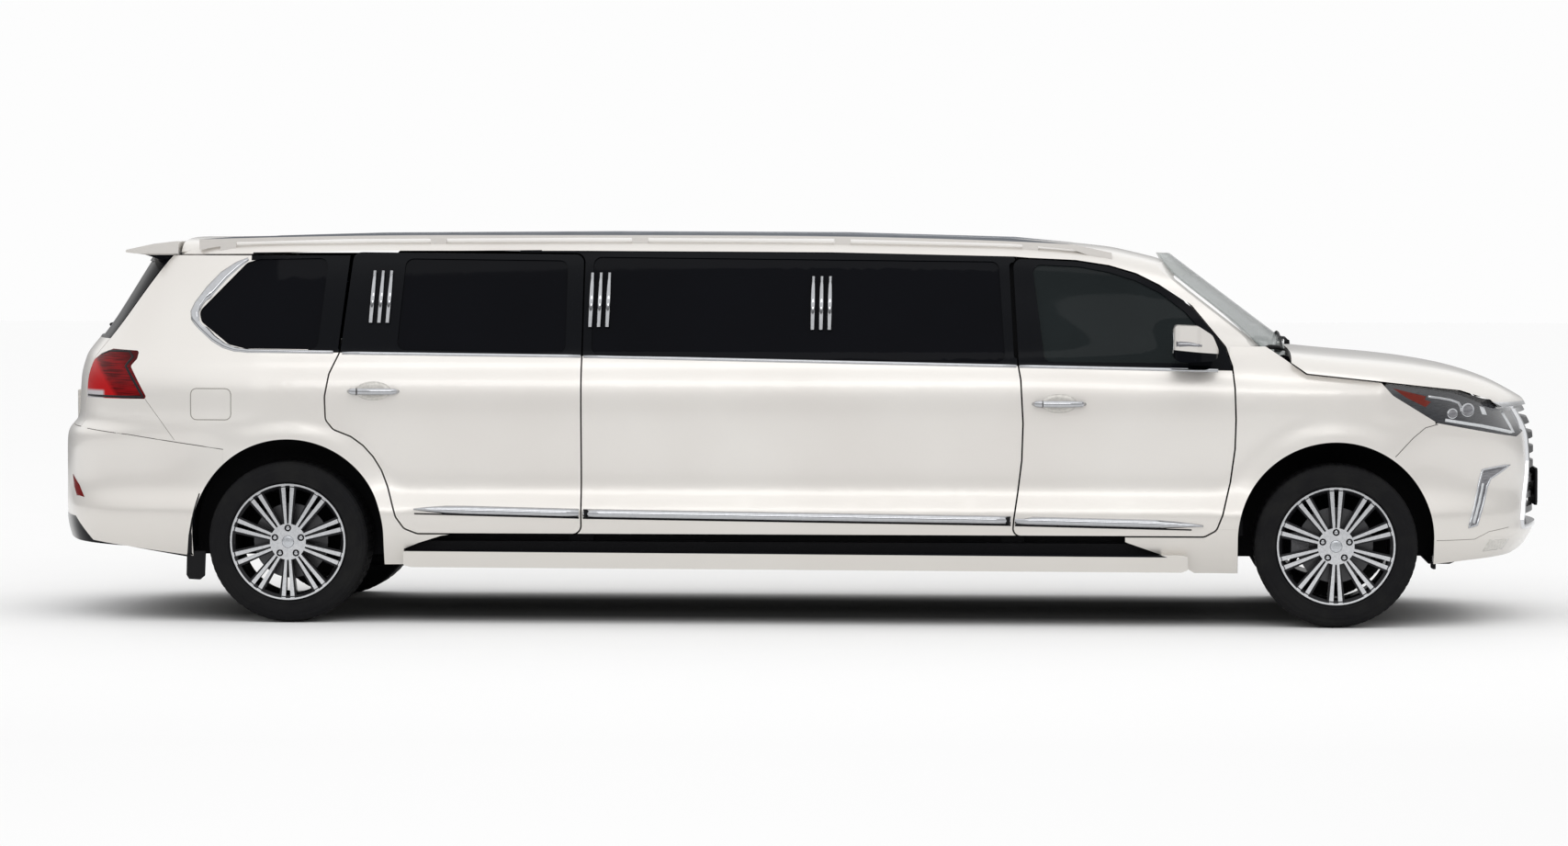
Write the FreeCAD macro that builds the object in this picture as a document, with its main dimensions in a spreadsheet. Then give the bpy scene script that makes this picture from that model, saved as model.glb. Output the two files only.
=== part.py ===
import FreeCAD, Part
import math
import os
from FreeCAD import Placement, Rotation, Vector

# A stretched full-size sport utility limousine.
# The long axis is X with the nose at plus X, Y points to the left side and Z is up.
# The origin lies on the ground under the middle of the body.

doc = FreeCAD.newDocument("Limousine")
sheet = doc.addObject("Spreadsheet::Sheet", "Sizes")

sizes = [
    ("wheelbase", "5075"),
    ("front_overhang", "1036"),
    ("rear_overhang", "1265"),
    ("half_width", "970"),
    ("body_height", "1898"),
    ("tyre_radius", "394"),
    ("tyre_width", "285"),
    ("rim_radius", "282"),
    ("track", "1640"),
    ("wall", "58"),
    ("upper_wall", "44"),
    ("roof_wall", "36"),
    ("hood_wall", "34"),
    ("shut_gap", "8"),
    ("upper_gap", "17"),
    ("seat_gap", "0.3"),
    ("glass_thickness", "6"),
    ("glass_setback", "8"),
    ("arch_clearance", "76"),
    ("arch_lift", "29"),
    ("flare_height", "18"),
    ("flare_reach", "120"),
    ("bend_radius", "40"),
    ("fine_radius", "12"),
    ("spoke_depth", "40"),
    ("hub_radius", "62"),
    ("disc_radius", "182"),
    ("disc_thickness", "28"),
    ("kingpin_offset", "100"),
    ("rail_width", "80"),
    ("rail_depth", "95"),
    ("rail_outer", "410"),
    ("floor_thickness", "40"),
    ("floor_level", "400"),
    ("floor_half_width", "850"),
    ("post_depth", "36"),
    ("liner_wall", "12"),
    ("engine_length", "640"),
    ("engine_width", "520"),
    ("engine_height", "560"),
    ("engine_base", "490"),
    ("seat_width", "520"),
    ("seat_depth", "520"),
    ("seat_height", "640"),
    ("seat_base", "470"),
    ("cushion_height", "250"),
    ("back_depth", "150"),
    ("bar_thickness", "24"),
    ("bar_height", "26"),
    ("mirror_width", "215"),
    ("mirror_height", "178"),
    ("mirror_depth", "130"),
    ("slat_thickness", "30"),
    ("slat_count", "7"),
    ("spoke_pairs", "10"),
]
for row, (alias, value) in enumerate(sizes):
    cell = "B%d" % (row + 1)
    sheet.set("A%d" % (row + 1), alias)
    sheet.set(cell, value)
    sheet.setAlias(cell, alias)
doc.recompute()


def size(alias):
    return float(sheet.get(alias))


wheelbase = size("wheelbase")
front_overhang = size("front_overhang")
rear_overhang = size("rear_overhang")
half_width = size("half_width")
body_height = size("body_height")
tyre_radius = size("tyre_radius")
half_length = (wheelbase + front_overhang + rear_overhang) / 2
front_axle = half_length - front_overhang
rear_axle = rear_overhang - half_length
wall = size("wall")
upper_wall = size("upper_wall")
shut_gap = size("shut_gap")
upper_gap = size("upper_gap")
seat_gap = size("seat_gap")
arch_radius = tyre_radius + size("arch_clearance")
arch_level = tyre_radius + size("arch_lift")
flare_height = size("flare_height")
flare_reach = size("flare_reach")
bend_radius = size("bend_radius")
fine_radius = size("fine_radius")


# Tables of shares.

# Body section: height as a share of body height, half width as a share of the widest.
section_shares = [
    (0.132, 0.923), (0.153, 0.940), (0.174, 0.954), (0.211, 0.977), (0.240, 0.988),
    (0.263, 0.996), (0.287, 1.000), (0.311, 0.988), (0.337, 0.972), (0.369, 0.967),
    (0.421, 0.970), (0.485, 0.980), (0.548, 0.987), (0.601, 0.985), (0.632, 0.975),
    (0.659, 0.959), (0.677, 0.940), (0.690, 0.926), (0.717, 0.909), (0.764, 0.882),
    (0.822, 0.847), (0.880, 0.811), (0.933, 0.778), (0.959, 0.758), (0.974, 0.730),
    (0.983, 0.686), (0.989, 0.577), (0.994, 0.412), (0.996, 0.206),
]
belt_share = 0.690
blend_low_shares = (0.600, 0.760)
drop_blend_shares = (0.690, 0.900)

# Roof line: distance ahead of the front axle as a share of the wheelbase, fall as a share of height.
roof_fall_shares = [
    (-1.200, 0.0100), (-1.068, 0.0084), (-0.917, 0.0026), (-0.700, 0.0), (-0.480, 0.0021),
    (-0.309, 0.0130), (-0.257, 0.0221), (-0.212, 0.0348), (-0.183, 0.0527), (-0.169, 0.0622),
    (-0.128, 0.0948), (-0.069, 0.1528), (0.0, 0.2300),
]
# Narrowing of the cabin towards the windscreen.
cabin_taper_shares = [
    (-1.2, 1.0), (-0.300, 1.0), (-0.227, 0.987), (-0.148, 0.957), (-0.089, 0.932), (-0.040, 0.902),
    (0.0, 0.880),
]
# Nose plan: distance as a share of the nose reach, half width as a share.
nose_plan_shares = [
    (-1.0, 1.0), (0.0, 1.0), (0.25, 0.987), (0.45, 0.950), (0.62, 0.884), (0.75, 0.790),
    (0.85, 0.660), (0.915, 0.500), (0.955, 0.350), (0.985, 0.190), (1.0, 0.07), (1.0, 0.0),
]
nose_reach_shares = [
    (0.132, 0.820), (0.153, 0.875), (0.174, 0.925), (0.211, 0.968), (0.229, 0.986), (0.263, 0.978),
    (0.300, 0.975), (0.400, 0.980), (0.474, 0.980), (0.500, 0.965), (0.530, 0.935), (0.558, 0.905),
    (0.600, 0.870), (0.641, 0.815), (0.690, 0.730), (0.740, 0.640),
]
# Tail plan and how far the tail reaches at each height.
tail_plan_shares = [
    (-1.0, 1.0), (0.0, 1.0), (0.16, 0.998), (0.32, 0.988), (0.48, 0.968), (0.62, 0.932),
    (0.735, 0.877), (0.817, 0.797), (0.877, 0.690), (0.916, 0.555), (0.954, 0.390), (0.984, 0.210),
    (1.0, 0.06), (1.0, 0.0),
]
tail_reach_shares = [
    (0.132, 0.925), (0.153, 0.950), (0.174, 0.970), (0.211, 0.990), (0.242, 1.000), (0.460, 1.000),
    (0.485, 0.992), (0.502, 0.960), (0.520, 0.948), (0.560, 0.945), (0.632, 0.938), (0.680, 0.916),
    (0.706, 0.890), (0.730, 0.850), (0.790, 0.790), (0.843, 0.740), (0.896, 0.690), (0.943, 0.645),
    (0.975, 0.610),
]

# Outlines seen from the side. Front ones run ahead of the front axle as shares of the front overhang.
front_door_shares = [
    (-1.494, 0.232), (-1.488, 0.274), (-1.471, 0.337), (-1.452, 0.421), (-1.446, 0.516),
    (-1.457, 0.627), (-1.470, 0.665), (-1.501, 0.9335), (-1.208, 0.926), (-1.054, 0.913),
    (-0.929, 0.893), (-0.803, 0.859), (-0.671, 0.812), (-0.514, 0.709), (-0.485, 0.662),
    (-0.473, 0.606), (-0.468, 0.527), (-0.472, 0.453), (-0.493, 0.369), (-0.528, 0.287),
    (-0.556, 0.248), (-0.610, 0.232),
]
front_window_shares = [
    (-1.351, 0.672), (-1.413, 0.919), (-1.189, 0.913), (-1.054, 0.899), (-0.929, 0.878),
    (-0.813, 0.846), (-0.697, 0.798), (-0.591, 0.734), (-0.581, 0.668),
]
rear_door_shares = [
    (-1.131, 0.232), (-1.131, 0.943), (-0.238, 0.949), (-0.200, 0.692), (-0.164, 0.638),
    (-0.148, 0.580), (-0.151, 0.522), (-0.180, 0.498), (-0.248, 0.480), (-0.295, 0.457),
    (-0.334, 0.428), (-0.366, 0.393), (-0.390, 0.351), (-0.407, 0.311), (-0.423, 0.274),
    (-0.453, 0.245), (-0.502, 0.232),
]
rear_window_shares = [(-0.417, 0.699), (-0.441, 0.933), (-1.070, 0.928), (-1.070, 0.691)]
quarter_window_shares = [
    (-0.140, 0.934), (0.130, 0.931), (0.179, 0.922), (0.359, 0.797), (0.349, 0.770),
    (0.235, 0.712), (0.172, 0.702), (-0.110, 0.700),
]
tail_lamp_shares = [
    (1.080, 0.572), (1.080, 0.622), (0.828, 0.656), (0.761, 0.687), (0.709, 0.699),
    (0.594, 0.695), (0.600, 0.674), (0.624, 0.656), (0.551, 0.572),
]
rear_bumper_shares = [
    (1.100, 0.204), (1.100, 0.496), (0.806, 0.494), (0.444, 0.464), (0.252, 0.445), (0.252, 0.165),
    (0.401, 0.167), (0.640, 0.192), (0.900, 0.200),
]
# Upper rear parts of the doors, where the shut line is wider.
front_door_upper_shares = [(-1.478, 0.690), (-1.502, 0.915), (-1.400, 0.915), (-1.400, 0.690)]
rear_door_upper_shares = [(-0.204, 0.705), (-0.236, 0.938), (-0.330, 0.938), (-0.330, 0.705)]
# Ends of the side skirt: behind the front wheel, and the step cut into the rear quarter.
skirt_shares = [
    (-0.400, 0.250), (-0.400, 0.1365), (-0.655, 0.1365), (-0.774, 0.178), (-0.910, 0.201),
    (-0.975, 0.2165), (-0.975, 0.250),
]
step_shares = [
    (-0.448, 0.0), (-0.448, 0.1905), (-0.504, 0.206), (-0.593, 0.225), (-0.700, 0.235),
    (-0.700, 0.0),
]
fender_shares = [
    (-0.493, 0.712), (-0.324, 0.711), (-0.246, 0.683), (-0.140, 0.641), (0.206, 0.621),
    (0.259, 0.589), (0.467, 0.519), (0.268, 0.436), (0.143, 0.369),
    (0.143, 0.250), (-0.600, 0.250), (-0.560, 0.330), (-0.493, 0.370),
]
hood_shares = [
    (-0.216, 0.760), (-0.216, 0.669), (-0.140, 0.641), (0.206, 0.621), (0.571, 0.598),
    (0.719, 0.572), (0.761, 0.551), (1.010, 0.551), (1.010, 0.760),
]
head_lamp_shares = [
    (0.206, 0.621), (0.259, 0.589), (0.467, 0.519), (0.862, 0.477), (0.905, 0.490), (0.905, 0.551),
    (0.761, 0.551), (0.719, 0.572), (0.571, 0.598),
]
bumper_shares = [
    (0.467, 0.519), (0.268, 0.436), (0.143, 0.369), (0.143, 0.158), (0.446, 0.160),
    (0.625, 0.168), (0.836, 0.175), (1.108, 0.221), (1.108, 0.551), (0.905, 0.551),
    (0.905, 0.490), (0.862, 0.477),
]
# The stretched window runs along the wheelbase, measured from the front axle.
side_window_shares = [(-0.7085, 0.688), (-0.7085, 0.9375), (-0.3200, 0.9260), (-0.3130, 0.6700)]
# Roof edge above the side windows: place along the wheelbase, height as a share.
roof_edge_shares = [
    (-1.160, 0.9430), (-1.040, 0.9445), (-0.941, 0.9530), (-0.719, 0.9530), (-0.480, 0.9495),
    (-0.306, 0.9390),
]


def table(pairs, place):
    # straight-line reading of a table of pairs
    if place <= pairs[0][0]:
        return pairs[0][1]
    for low, high in zip(pairs, pairs[1:]):
        if place <= high[0]:
            part = (place - low[0]) / (high[0] - low[0])
            return low[1] + part * (high[1] - low[1])
    return pairs[-1][1]


def ease(value):
    value = max(0.0, min(1.0, value))
    return value * value * (3 - 2 * value)


def span(start, stop, count):
    return [start + (stop - start) * i / (count - 1) for i in range(count)]


def at_front(pairs):
    return [(front_axle + a * front_overhang, b * body_height) for a, b in pairs]


def at_rear(pairs):
    return [(rear_axle - a * rear_overhang, b * body_height) for a, b in pairs]


def at_middle(pairs):
    # shares of the wheelbase measured from the front axle
    return [(front_axle + a * wheelbase, b * body_height) for a, b in pairs]


# Body form.

def flare(x, z):
    grow = 0.0
    for axle in (front_axle, rear_axle):
        rise = max(0.0, z - arch_level)
        away = math.hypot(x - axle, rise) - arch_radius
        grow = max(grow, 1 - ease(away / flare_reach))
    return flare_height * grow


def plain_width(z):
    return half_width * table(section_shares, z / body_height)


def plan_share(x, z):
    nose = front_overhang * table(nose_reach_shares, z / body_height)
    tail = rear_overhang * table(tail_reach_shares, z / body_height)
    ahead = table(nose_plan_shares, (x - front_axle) / nose)
    behind = table(tail_plan_shares, (rear_axle - x) / tail)
    cabin = table(cabin_taper_shares, (x - front_axle) / wheelbase)
    low, high = blend_low_shares
    mix = ease((z / body_height - low) / (high - low))
    front = ahead * (1 - mix) + min(ahead, cabin) * mix
    return min(front, behind)


def roof_fall(x, z):
    low, high = drop_blend_shares
    mix = ease((z / body_height - low) / (high - low))
    return mix * body_height * table(roof_fall_shares, (x - front_axle) / wheelbase)


def skin_point(x, z, side):
    y = plain_width(z) * plan_share(x, z) + flare(x, z)
    return Vector(x, side * y, z - roof_fall(x, z))


def skin_width(x, z):
    # half width of the skin at a true height, allowing for the fall of the roof
    guess = z
    for turn in range(6):
        guess = z + roof_fall(x, guess)
    return plain_width(guess) * plan_share(x, guess) + flare(x, guess)


# Surfaces and sheets.

def knots(count, degree):
    inner = count - degree - 1
    places = [i / (inner + 1) for i in range(inner + 2)]
    repeats = [degree + 1] + [1] * inner + [degree + 1]
    return places, repeats


def surface(rows):
    u_places, u_repeats = knots(len(rows), 3)
    v_places, v_repeats = knots(len(rows[0]), 3)
    made = Part.BSplineSurface()
    made.buildFromPolesMultsKnots(rows, u_repeats, v_repeats, u_places, v_places, False, False, 3, 3)
    return made


def inset(rows, depth):
    # moves every pole along the local normal, depth is a length or a rule of the pole
    out = []
    last_row = len(rows) - 1
    last_col = len(rows[0]) - 1
    for i, row in enumerate(rows):
        line = []
        for j, pole in enumerate(row):
            along = rows[min(i + 1, last_row)][j] - rows[max(i - 1, 0)][j]
            across = row[min(j + 1, last_col)] - row[max(j - 1, 0)]
            normal = along.cross(across)
            if normal.Length > 0:
                normal.normalize()
            amount = depth(pole) if callable(depth) else depth
            line.append(pole + normal * amount)
        out.append(line)
    return out


def sheet_solid(outer_rows, inner_rows):
    outer = surface(outer_rows)
    inner = surface(inner_rows)
    faces = [outer.toShape(), inner.toShape()]
    for place in (0.0, 1.0):
        faces.append(Part.makeRuledSurface(outer.uIso(place).toShape(), inner.uIso(place).toShape()))
        faces.append(Part.makeRuledSurface(outer.vIso(place).toShape(), inner.vIso(place).toShape()))
    shell = Part.Shell(faces)
    shell.sewShape()
    solid = Part.Solid(shell)
    if solid.Volume < 0:
        solid.reverse()
    return solid


def wall_rule(pole):
    # door and quarter walls are thinner above the belt
    mix = ease((pole.z / body_height - belt_share + 0.03) / 0.06)
    return wall + (upper_wall - wall) * mix


def layered(rows, start, thickness):
    def deep(pole):
        return start + (thickness(pole) if callable(thickness) else thickness)
    return sheet_solid(inset(rows, start), inset(rows, deep))


# Outlines and prisms.

def rounded_wire(points, radius):
    # closed wire in the side view, every corner eased by an arc
    count = len(points)
    spots = [Vector(p[0], 0, p[1]) for p in points]
    joins = []
    for i in range(count):
        here = spots[i]
        back = spots[i - 1] - here
        ahead = spots[(i + 1) % count] - here
        room = 0.45 * min(back.Length, ahead.Length)
        back.normalize()
        ahead.normalize()
        angle = back.getAngle(ahead)
        if abs(math.pi - angle) < 0.01:
            joins.append((here, here, None))
            continue
        reach = min(room, radius / math.tan(angle / 2))
        bow = reach * math.tan(angle / 2)
        middle = back + ahead
        middle.normalize()
        centre = here + middle * (bow / math.sin(angle / 2))
        joins.append((here + back * reach, here + ahead * reach, centre - middle * bow))
    edges = []
    for i in range(count):
        start, stop, crest = joins[i]
        if crest is not None:
            edges.append(Part.Arc(start, crest, stop).toShape())
        follow = joins[(i + 1) % count][0]
        if (follow - stop).Length > seat_gap / 100:
            edges.append(Part.makeLine(stop, follow))
    return Part.Wire(edges)


def sharp_wire(points):
    spots = [Vector(a, 0, b) for a, b in points]
    return Part.makePolygon(spots + [spots[0]])


def prism(wire, near, far):
    face = Part.Face(wire)
    face.translate(Vector(0, near, 0))
    return face.extrude(Vector(0, far - near, 0))


def plan_prism(wire, low, high):
    # the outline holds X and Y pairs and is raised along Z
    face = Part.Face(wire)
    face.rotate(Vector(0, 0, 0), Vector(1, 0, 0), -90)
    face.translate(Vector(0, 0, low))
    return face.extrude(Vector(0, 0, high - low))


def grown(wire, amount):
    return wire.makeOffset2D(amount)


def block(x_low, x_high, y_low, y_high, z_low, z_high):
    return Part.makeBox(x_high - x_low, y_high - y_low, z_high - z_low, Vector(x_low, y_low, z_low))


def rod(radius, y_low, y_high, x, z):
    return Part.makeCylinder(radius, y_high - y_low, Vector(x, y_low, z), Vector(0, 1, 0))


def one(shape):
    # keeps the largest solid of a result
    solids = sorted(shape.Solids, key=lambda s: s.Volume)
    return solids[-1]


def both(shape):
    # the right-hand piece together with its mirror image
    twin = shape.mirror(Vector(0, 0, 0), Vector(0, 1, 0))
    return Part.makeCompound([shape, twin])


def mirrored(shape):
    return shape.mirror(Vector(0, 0, 0), Vector(0, 1, 0))


reach_out = 2 * half_width
nodes = []


def node(name, shape):
    made = doc.addObject("Part::Feature", name)
    made.Label = name
    made.Shape = shape
    nodes.append(made)
    return made


section_heights = [a * body_height for a, b in section_shares]

# Right side strip from the sill to the roof, used for doors, side panels and cant rails.
stations = []
stations += span(front_axle - 0.03 * wheelbase, front_axle - 0.12 * wheelbase, 10)
stations += [front_axle + a * wheelbase for a in (-0.14, -0.155, -0.17, -0.183, -0.197, -0.212, -0.23)]
stations += [front_axle + a * wheelbase for a in (-0.257, -0.285, -0.31, -0.36, -0.42, -0.5, -0.6)]
stations += [rear_axle + a * wheelbase for a in (0.32, 0.25, 0.19, 0.15, 0.13)]
stations += span(rear_axle + 0.118 * wheelbase, rear_axle - 0.0 * wheelbase, 12)
stations += [rear_axle - a * rear_overhang for a in (0.08, 0.16, 0.24, 0.32, 0.40, 0.47)]
side_rows = []
for z in section_heights:
    side_rows.append([skin_point(x, z, -1) for x in reversed(stations)])

# Front loop around the nose.
nose_heights = [a * body_height for a in (
    0.132, 0.153, 0.174, 0.195, 0.211, 0.229, 0.247, 0.263, 0.287, 0.311, 0.337, 0.369, 0.411,
    0.453, 0.485, 0.506, 0.527, 0.548, 0.575, 0.601, 0.632, 0.659, 0.677, 0.690, 0.717)]


def loop_rows(heights, side_places, plan_shares, reach_shares, axle, overhang, sense):
    rows = []
    for z in heights:
        reach = overhang * table(reach_shares, z / body_height)
        line = [(x, plain_width(z) * plan_share(x, z) + flare(x, z)) for x in side_places]
        for share, width in plan_shares:
            x = axle + sense * share * reach
            line.append((x, plain_width(z) * width + flare(x, z)))
        right = [Vector(x, -y, z) for x, y in line]
        left = [Vector(x, y, z) for x, y in reversed(line)]
        rows.append(right + left if sense > 0 else left[::-1] + right[::-1])
    return rows


front_places = span(front_axle - 0.62 * front_overhang, front_axle + 0.20 * front_overhang, 18)
front_rows = loop_rows(nose_heights, front_places, nose_plan_shares[2:-1], nose_reach_shares,
                       front_axle, front_overhang, 1)
tail_heights = [a * body_height for a in (
    0.132, 0.153, 0.174, 0.211, 0.240, 0.263, 0.287, 0.311, 0.337, 0.369, 0.411, 0.453, 0.478,
    0.492, 0.505, 0.520, 0.548, 0.575, 0.601, 0.632, 0.659, 0.677, 0.690, 0.717, 0.764, 0.822,
    0.880, 0.933, 0.959)]
rear_places = span(rear_axle + 0.64 * rear_overhang, rear_axle - 0.12 * rear_overhang, 20)
rear_rows = loop_rows(tail_heights, rear_places, tail_plan_shares[2:-1], tail_reach_shares,
                      rear_axle, rear_overhang, -1)

# Rockers run between the wheel arches, under the doors.
rocker_out = 0.935 * half_width
kick_x = rear_axle + 0.455 * rear_overhang
rocker_end = front_axle - 0.69 * front_overhang
floor_level = size("floor_level")
rocker_room = block(kick_x - seat_gap, rocker_end + seat_gap, -rocker_out - seat_gap, 0, 0,
                    floor_level)

side_skin = layered(side_rows, 0, wall_rule)
front_skin = layered(front_rows, 0, wall)
rear_skin = layered(rear_rows, 0, wall_rule)


def arch_tool(axle, grow):
    # opening over a wheel: a half round with straight sides down to the ground
    top = rod(arch_radius + grow, -reach_out, reach_out, axle, arch_level)
    legs = block(axle - arch_radius - grow, axle + arch_radius + grow, -reach_out, reach_out,
                 0, arch_level)
    return top.fuse(legs)


front_arch = arch_tool(front_axle, 0)
rear_arch = arch_tool(rear_axle, 0)

front_door_wire = rounded_wire(at_front(front_door_shares), bend_radius)
rear_door_wire = rounded_wire(at_rear(rear_door_shares), bend_radius)
front_window_wire = rounded_wire(at_front(front_window_shares), bend_radius)
rear_window_wire = rounded_wire(at_rear(rear_window_shares), bend_radius)
quarter_window_wire = rounded_wire(at_rear(quarter_window_shares), bend_radius)
side_window_wire = rounded_wire(at_middle(side_window_shares), bend_radius)
tail_lamp_wire = rounded_wire(at_rear(tail_lamp_shares), fine_radius)
rear_bumper_wire = rounded_wire(at_rear(rear_bumper_shares), fine_radius)
fender_wire = rounded_wire(at_front(fender_shares), fine_radius)
hood_wire = rounded_wire(at_front(hood_shares), fine_radius)
head_lamp_wire = rounded_wire(at_front(head_lamp_shares), fine_radius)
bumper_wire = rounded_wire(at_front(bumper_shares), fine_radius)



def door_gap(wire, upper_points):
    # room round a door: the shut line, wider where the upper rear part swings back as it opens
    upper = prism(grown(sharp_wire(upper_points), upper_gap), -reach_out, reach_out)
    return prism(grown(wire, shut_gap), -reach_out, reach_out).fuse(upper)


front_door_gap = door_gap(front_door_wire, at_front(front_door_upper_shares))
rear_door_gap = door_gap(rear_door_wire, at_rear(rear_door_upper_shares))


def right_prism(wire):
    return prism(wire, -reach_out, 0)


# Windscreen surface, from the cowl up to the roof.
screen_base_x = front_axle - 0.324 * front_overhang
screen_base_z = 0.7065 * body_height
screen_top_x = front_axle - 0.829 * front_overhang
screen_top_z = 0.9141 * body_height
screen_bulge = 0.052 * wheelbase / 3
screen_shares = span(-0.16, 1.20, 7)
screen_cross_shares = span(-1.0, 1.0, 9)


def screen_rows(width_rule):
    rows = []
    for s in screen_shares:
        x = screen_base_x + s * (screen_top_x - screen_base_x)
        z = screen_base_z + s * (screen_top_z - screen_base_z)
        reach = width_rule(x, z)
        row = []
        for c in screen_cross_shares:
            y = c * reach
            bulge = screen_bulge * (1 - (y / (0.72 * half_width)) ** 2)
            row.append(Vector(x + bulge, y, z + bulge * 0.35))
        rows.append(row)
    return rows


screen_face = surface(screen_rows(lambda x, z: 1.25 * half_width)).toShape()
screen_tool = screen_face.extrude(Vector(front_overhang, 0, 0.6 * front_overhang))

# Doors, cut from the right-hand strip with their windows open.
front_door = one(side_skin.common(right_prism(front_door_wire)).cut(right_prism(front_window_wire)))
rear_door = one(side_skin.common(right_prism(rear_door_wire)).cut(right_prism(rear_window_wire)))
rear_door = one(rear_door.cut(rear_arch))
node("front_door_right", front_door)
node("front_door_left", mirrored(front_door))
node("rear_door_right", rear_door)
node("rear_door_left", mirrored(rear_door))

# Fixed stretched panel between the doors.
roof_edge = at_middle(roof_edge_shares)
panel_top = [(x, z - seat_gap) for x, z in roof_edge]
panel_points = [(roof_edge[0][0], 0.232 * body_height)] + panel_top
panel_ahead = roof_edge[-1][0] + 0.03 * wheelbase
panel_points += [(panel_ahead, 0.80 * body_height), (panel_ahead, 0.232 * body_height)]
panel_wire = sharp_wire(panel_points)
side_panel = side_skin.common(right_prism(panel_wire)).cut(front_door_gap).cut(rear_door_gap)
middle_band = block(front_axle - 0.78 * wheelbase, front_axle - 0.25 * wheelbase, -reach_out, 0,
                    0, body_height)
side_panel = one(side_panel.common(middle_band).cut(right_prism(side_window_wire)))
node("side_panels", both(side_panel))

# Cant rails with the windscreen pillars.
rail_low = roof_edge + at_front([(-1.208, 0.926), (-1.054, 0.913), (-0.929, 0.893), (-0.803, 0.859),
                                 (-0.671, 0.812), (-0.514, 0.709), (-0.505, 0.680)])
rail_high = at_front([(-0.20, 0.680), (-0.20, 1.02)]) + at_middle([(-1.16, 1.02)])
rail_wire = sharp_wire(rail_low + rail_high)
roof_side_limit = 0.677 * half_width
outer_band = block(-half_length, half_length, -reach_out, -roof_side_limit, 0, 2 * body_height)
roof_end = rear_axle - 0.452 * rear_overhang
ahead_of_gate = block(roof_end, half_length, -reach_out, reach_out, 0, 2 * body_height)
roof_side = side_skin.common(right_prism(rail_wire)).cut(front_door_gap).cut(rear_door_gap)
roof_side = roof_side.cut(right_prism(grown(fender_wire, seat_gap)))
roof_side = one(roof_side.common(outer_band).common(ahead_of_gate).cut(screen_tool))
node("roof_sides", both(roof_side))

# Roof skin.
roof_shares = [(0.974, 0.730), (0.983, 0.686), (0.989, 0.577), (0.994, 0.412), (0.996, 0.206)]
roof_stations = [x for x in reversed(stations)]
roof_rows = []
for share, width in [(0.959, 0.758)] + roof_shares:
    roof_rows.append([skin_point(x, share * body_height, -1) for x in roof_stations])
roof_rows.append([Vector(p.x, 0, p.z) for p in roof_rows[-1]])
for row in reversed(roof_rows[:-1]):
    roof_rows.append([Vector(p.x, -p.y, p.z) for p in row])
roof_skin = layered(roof_rows, 0, size("roof_wall"))
inner_half = roof_side_limit - seat_gap
roof_band = block(roof_end, half_length, -inner_half, inner_half, 0, 2 * body_height)
node("roof_panel", one(roof_skin.common(roof_band).cut(screen_tool)))

# Windscreen glass set between the pillars.
glass_setback = size("glass_setback")
glass_thickness = size("glass_thickness")


def screen_width(x, z):
    return skin_width(x - 0.4 * screen_bulge, z) - 1.25 * upper_wall


screen_pane = layered(screen_rows(screen_width), -glass_setback, -glass_thickness)
screen_band = block(0, front_axle - 0.222 * front_overhang, -reach_out, reach_out,
                    screen_base_z - 0.02 * body_height, screen_top_z + 0.030 * body_height)
fender_back = layered(front_rows, 0, wall + seat_gap).common(
    prism(grown(fender_wire, seat_gap), -reach_out, reach_out))
node("windscreen", one(screen_pane.common(screen_band).cut(fender_back)))

# Front fenders, bumper and lamps from the loop round the nose.
front_half = block(0, 2 * half_length, -reach_out, -0.36 * half_width, 0, 2 * body_height)
fender = front_skin.common(right_prism(fender_wire)).common(front_half).cut(front_arch)
fender = one(fender.cut(front_door_gap))
node("front_fenders", both(fender))
lamp_half = block(0, 2 * half_length, -reach_out, -0.47 * half_width, 0, 2 * body_height)
head_lamp = one(front_skin.common(right_prism(grown(head_lamp_wire, -seat_gap))).common(lamp_half))
node("headlamps", both(head_lamp))
front_bumper = front_skin.common(prism(bumper_wire, -reach_out, reach_out)).cut(front_arch)
lamp_pocket = prism(head_lamp_wire, -reach_out, -0.47 * half_width + seat_gap)
front_bumper = front_bumper.cut(lamp_pocket).cut(mirrored(lamp_pocket))
# spindle opening in the nose
spindle_shares = [(0.465, 0.548), (0.430, 0.480), (0.395, 0.410), (0.410, 0.370), (0.510, 0.262),
                  (0.495, 0.238)]
spindle = [Vector(0, a * half_width, b * body_height) for a, b in spindle_shares]
spindle += [Vector(0, -a * half_width, b * body_height) for a, b in reversed(spindle_shares)]
spindle_face = Part.Face(Part.makePolygon(spindle + [spindle[0]]))
spindle_tool = spindle_face.extrude(Vector(2 * half_length, 0, 0))
front_bumper = one(front_bumper.cut(spindle_tool))
node("front_bumper", front_bumper)

# Grille: a frame that follows the nose, with level slats.
proud = 0.25 * wall
grille_skin = layered(front_rows, -proud, wall)
grille_zone = grille_skin.common(spindle_face.extrude(Vector(2 * half_length, 0, 0)))
grille_zone = one(grille_zone.common(block(0, 2 * half_length, -reach_out, reach_out, 0,
                                           0.547 * body_height)))
rim_share = 0.93
core = [Vector(0, a * half_width * rim_share, (b - 0.393) * rim_share * body_height + 0.393 * body_height)
        for a, b in spindle_shares]
core += [Vector(0, -p.y, p.z) for p in reversed(core)]
core_tool = Part.Face(Part.makePolygon(core + [core[0]])).extrude(Vector(2 * half_length, 0, 0))
frame_ring = one(grille_zone.cut(core_tool))
slats = []
slat_count = int(size("slat_count"))
slat = size("slat_thickness")
slat_skin = layered(front_rows, -0.5 * proud, 0.8 * wall)
slat_zone = slat_skin.common(spindle_tool)
for z in span(0.276 * body_height, 0.504 * body_height, slat_count):
    slats.append(one(slat_zone.common(block(0, 2 * half_length, -reach_out, reach_out, z, z + slat))))
grille = frame_ring
for item in slats:
    grille = grille.fuse(item)
node("grille", grille)

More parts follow.
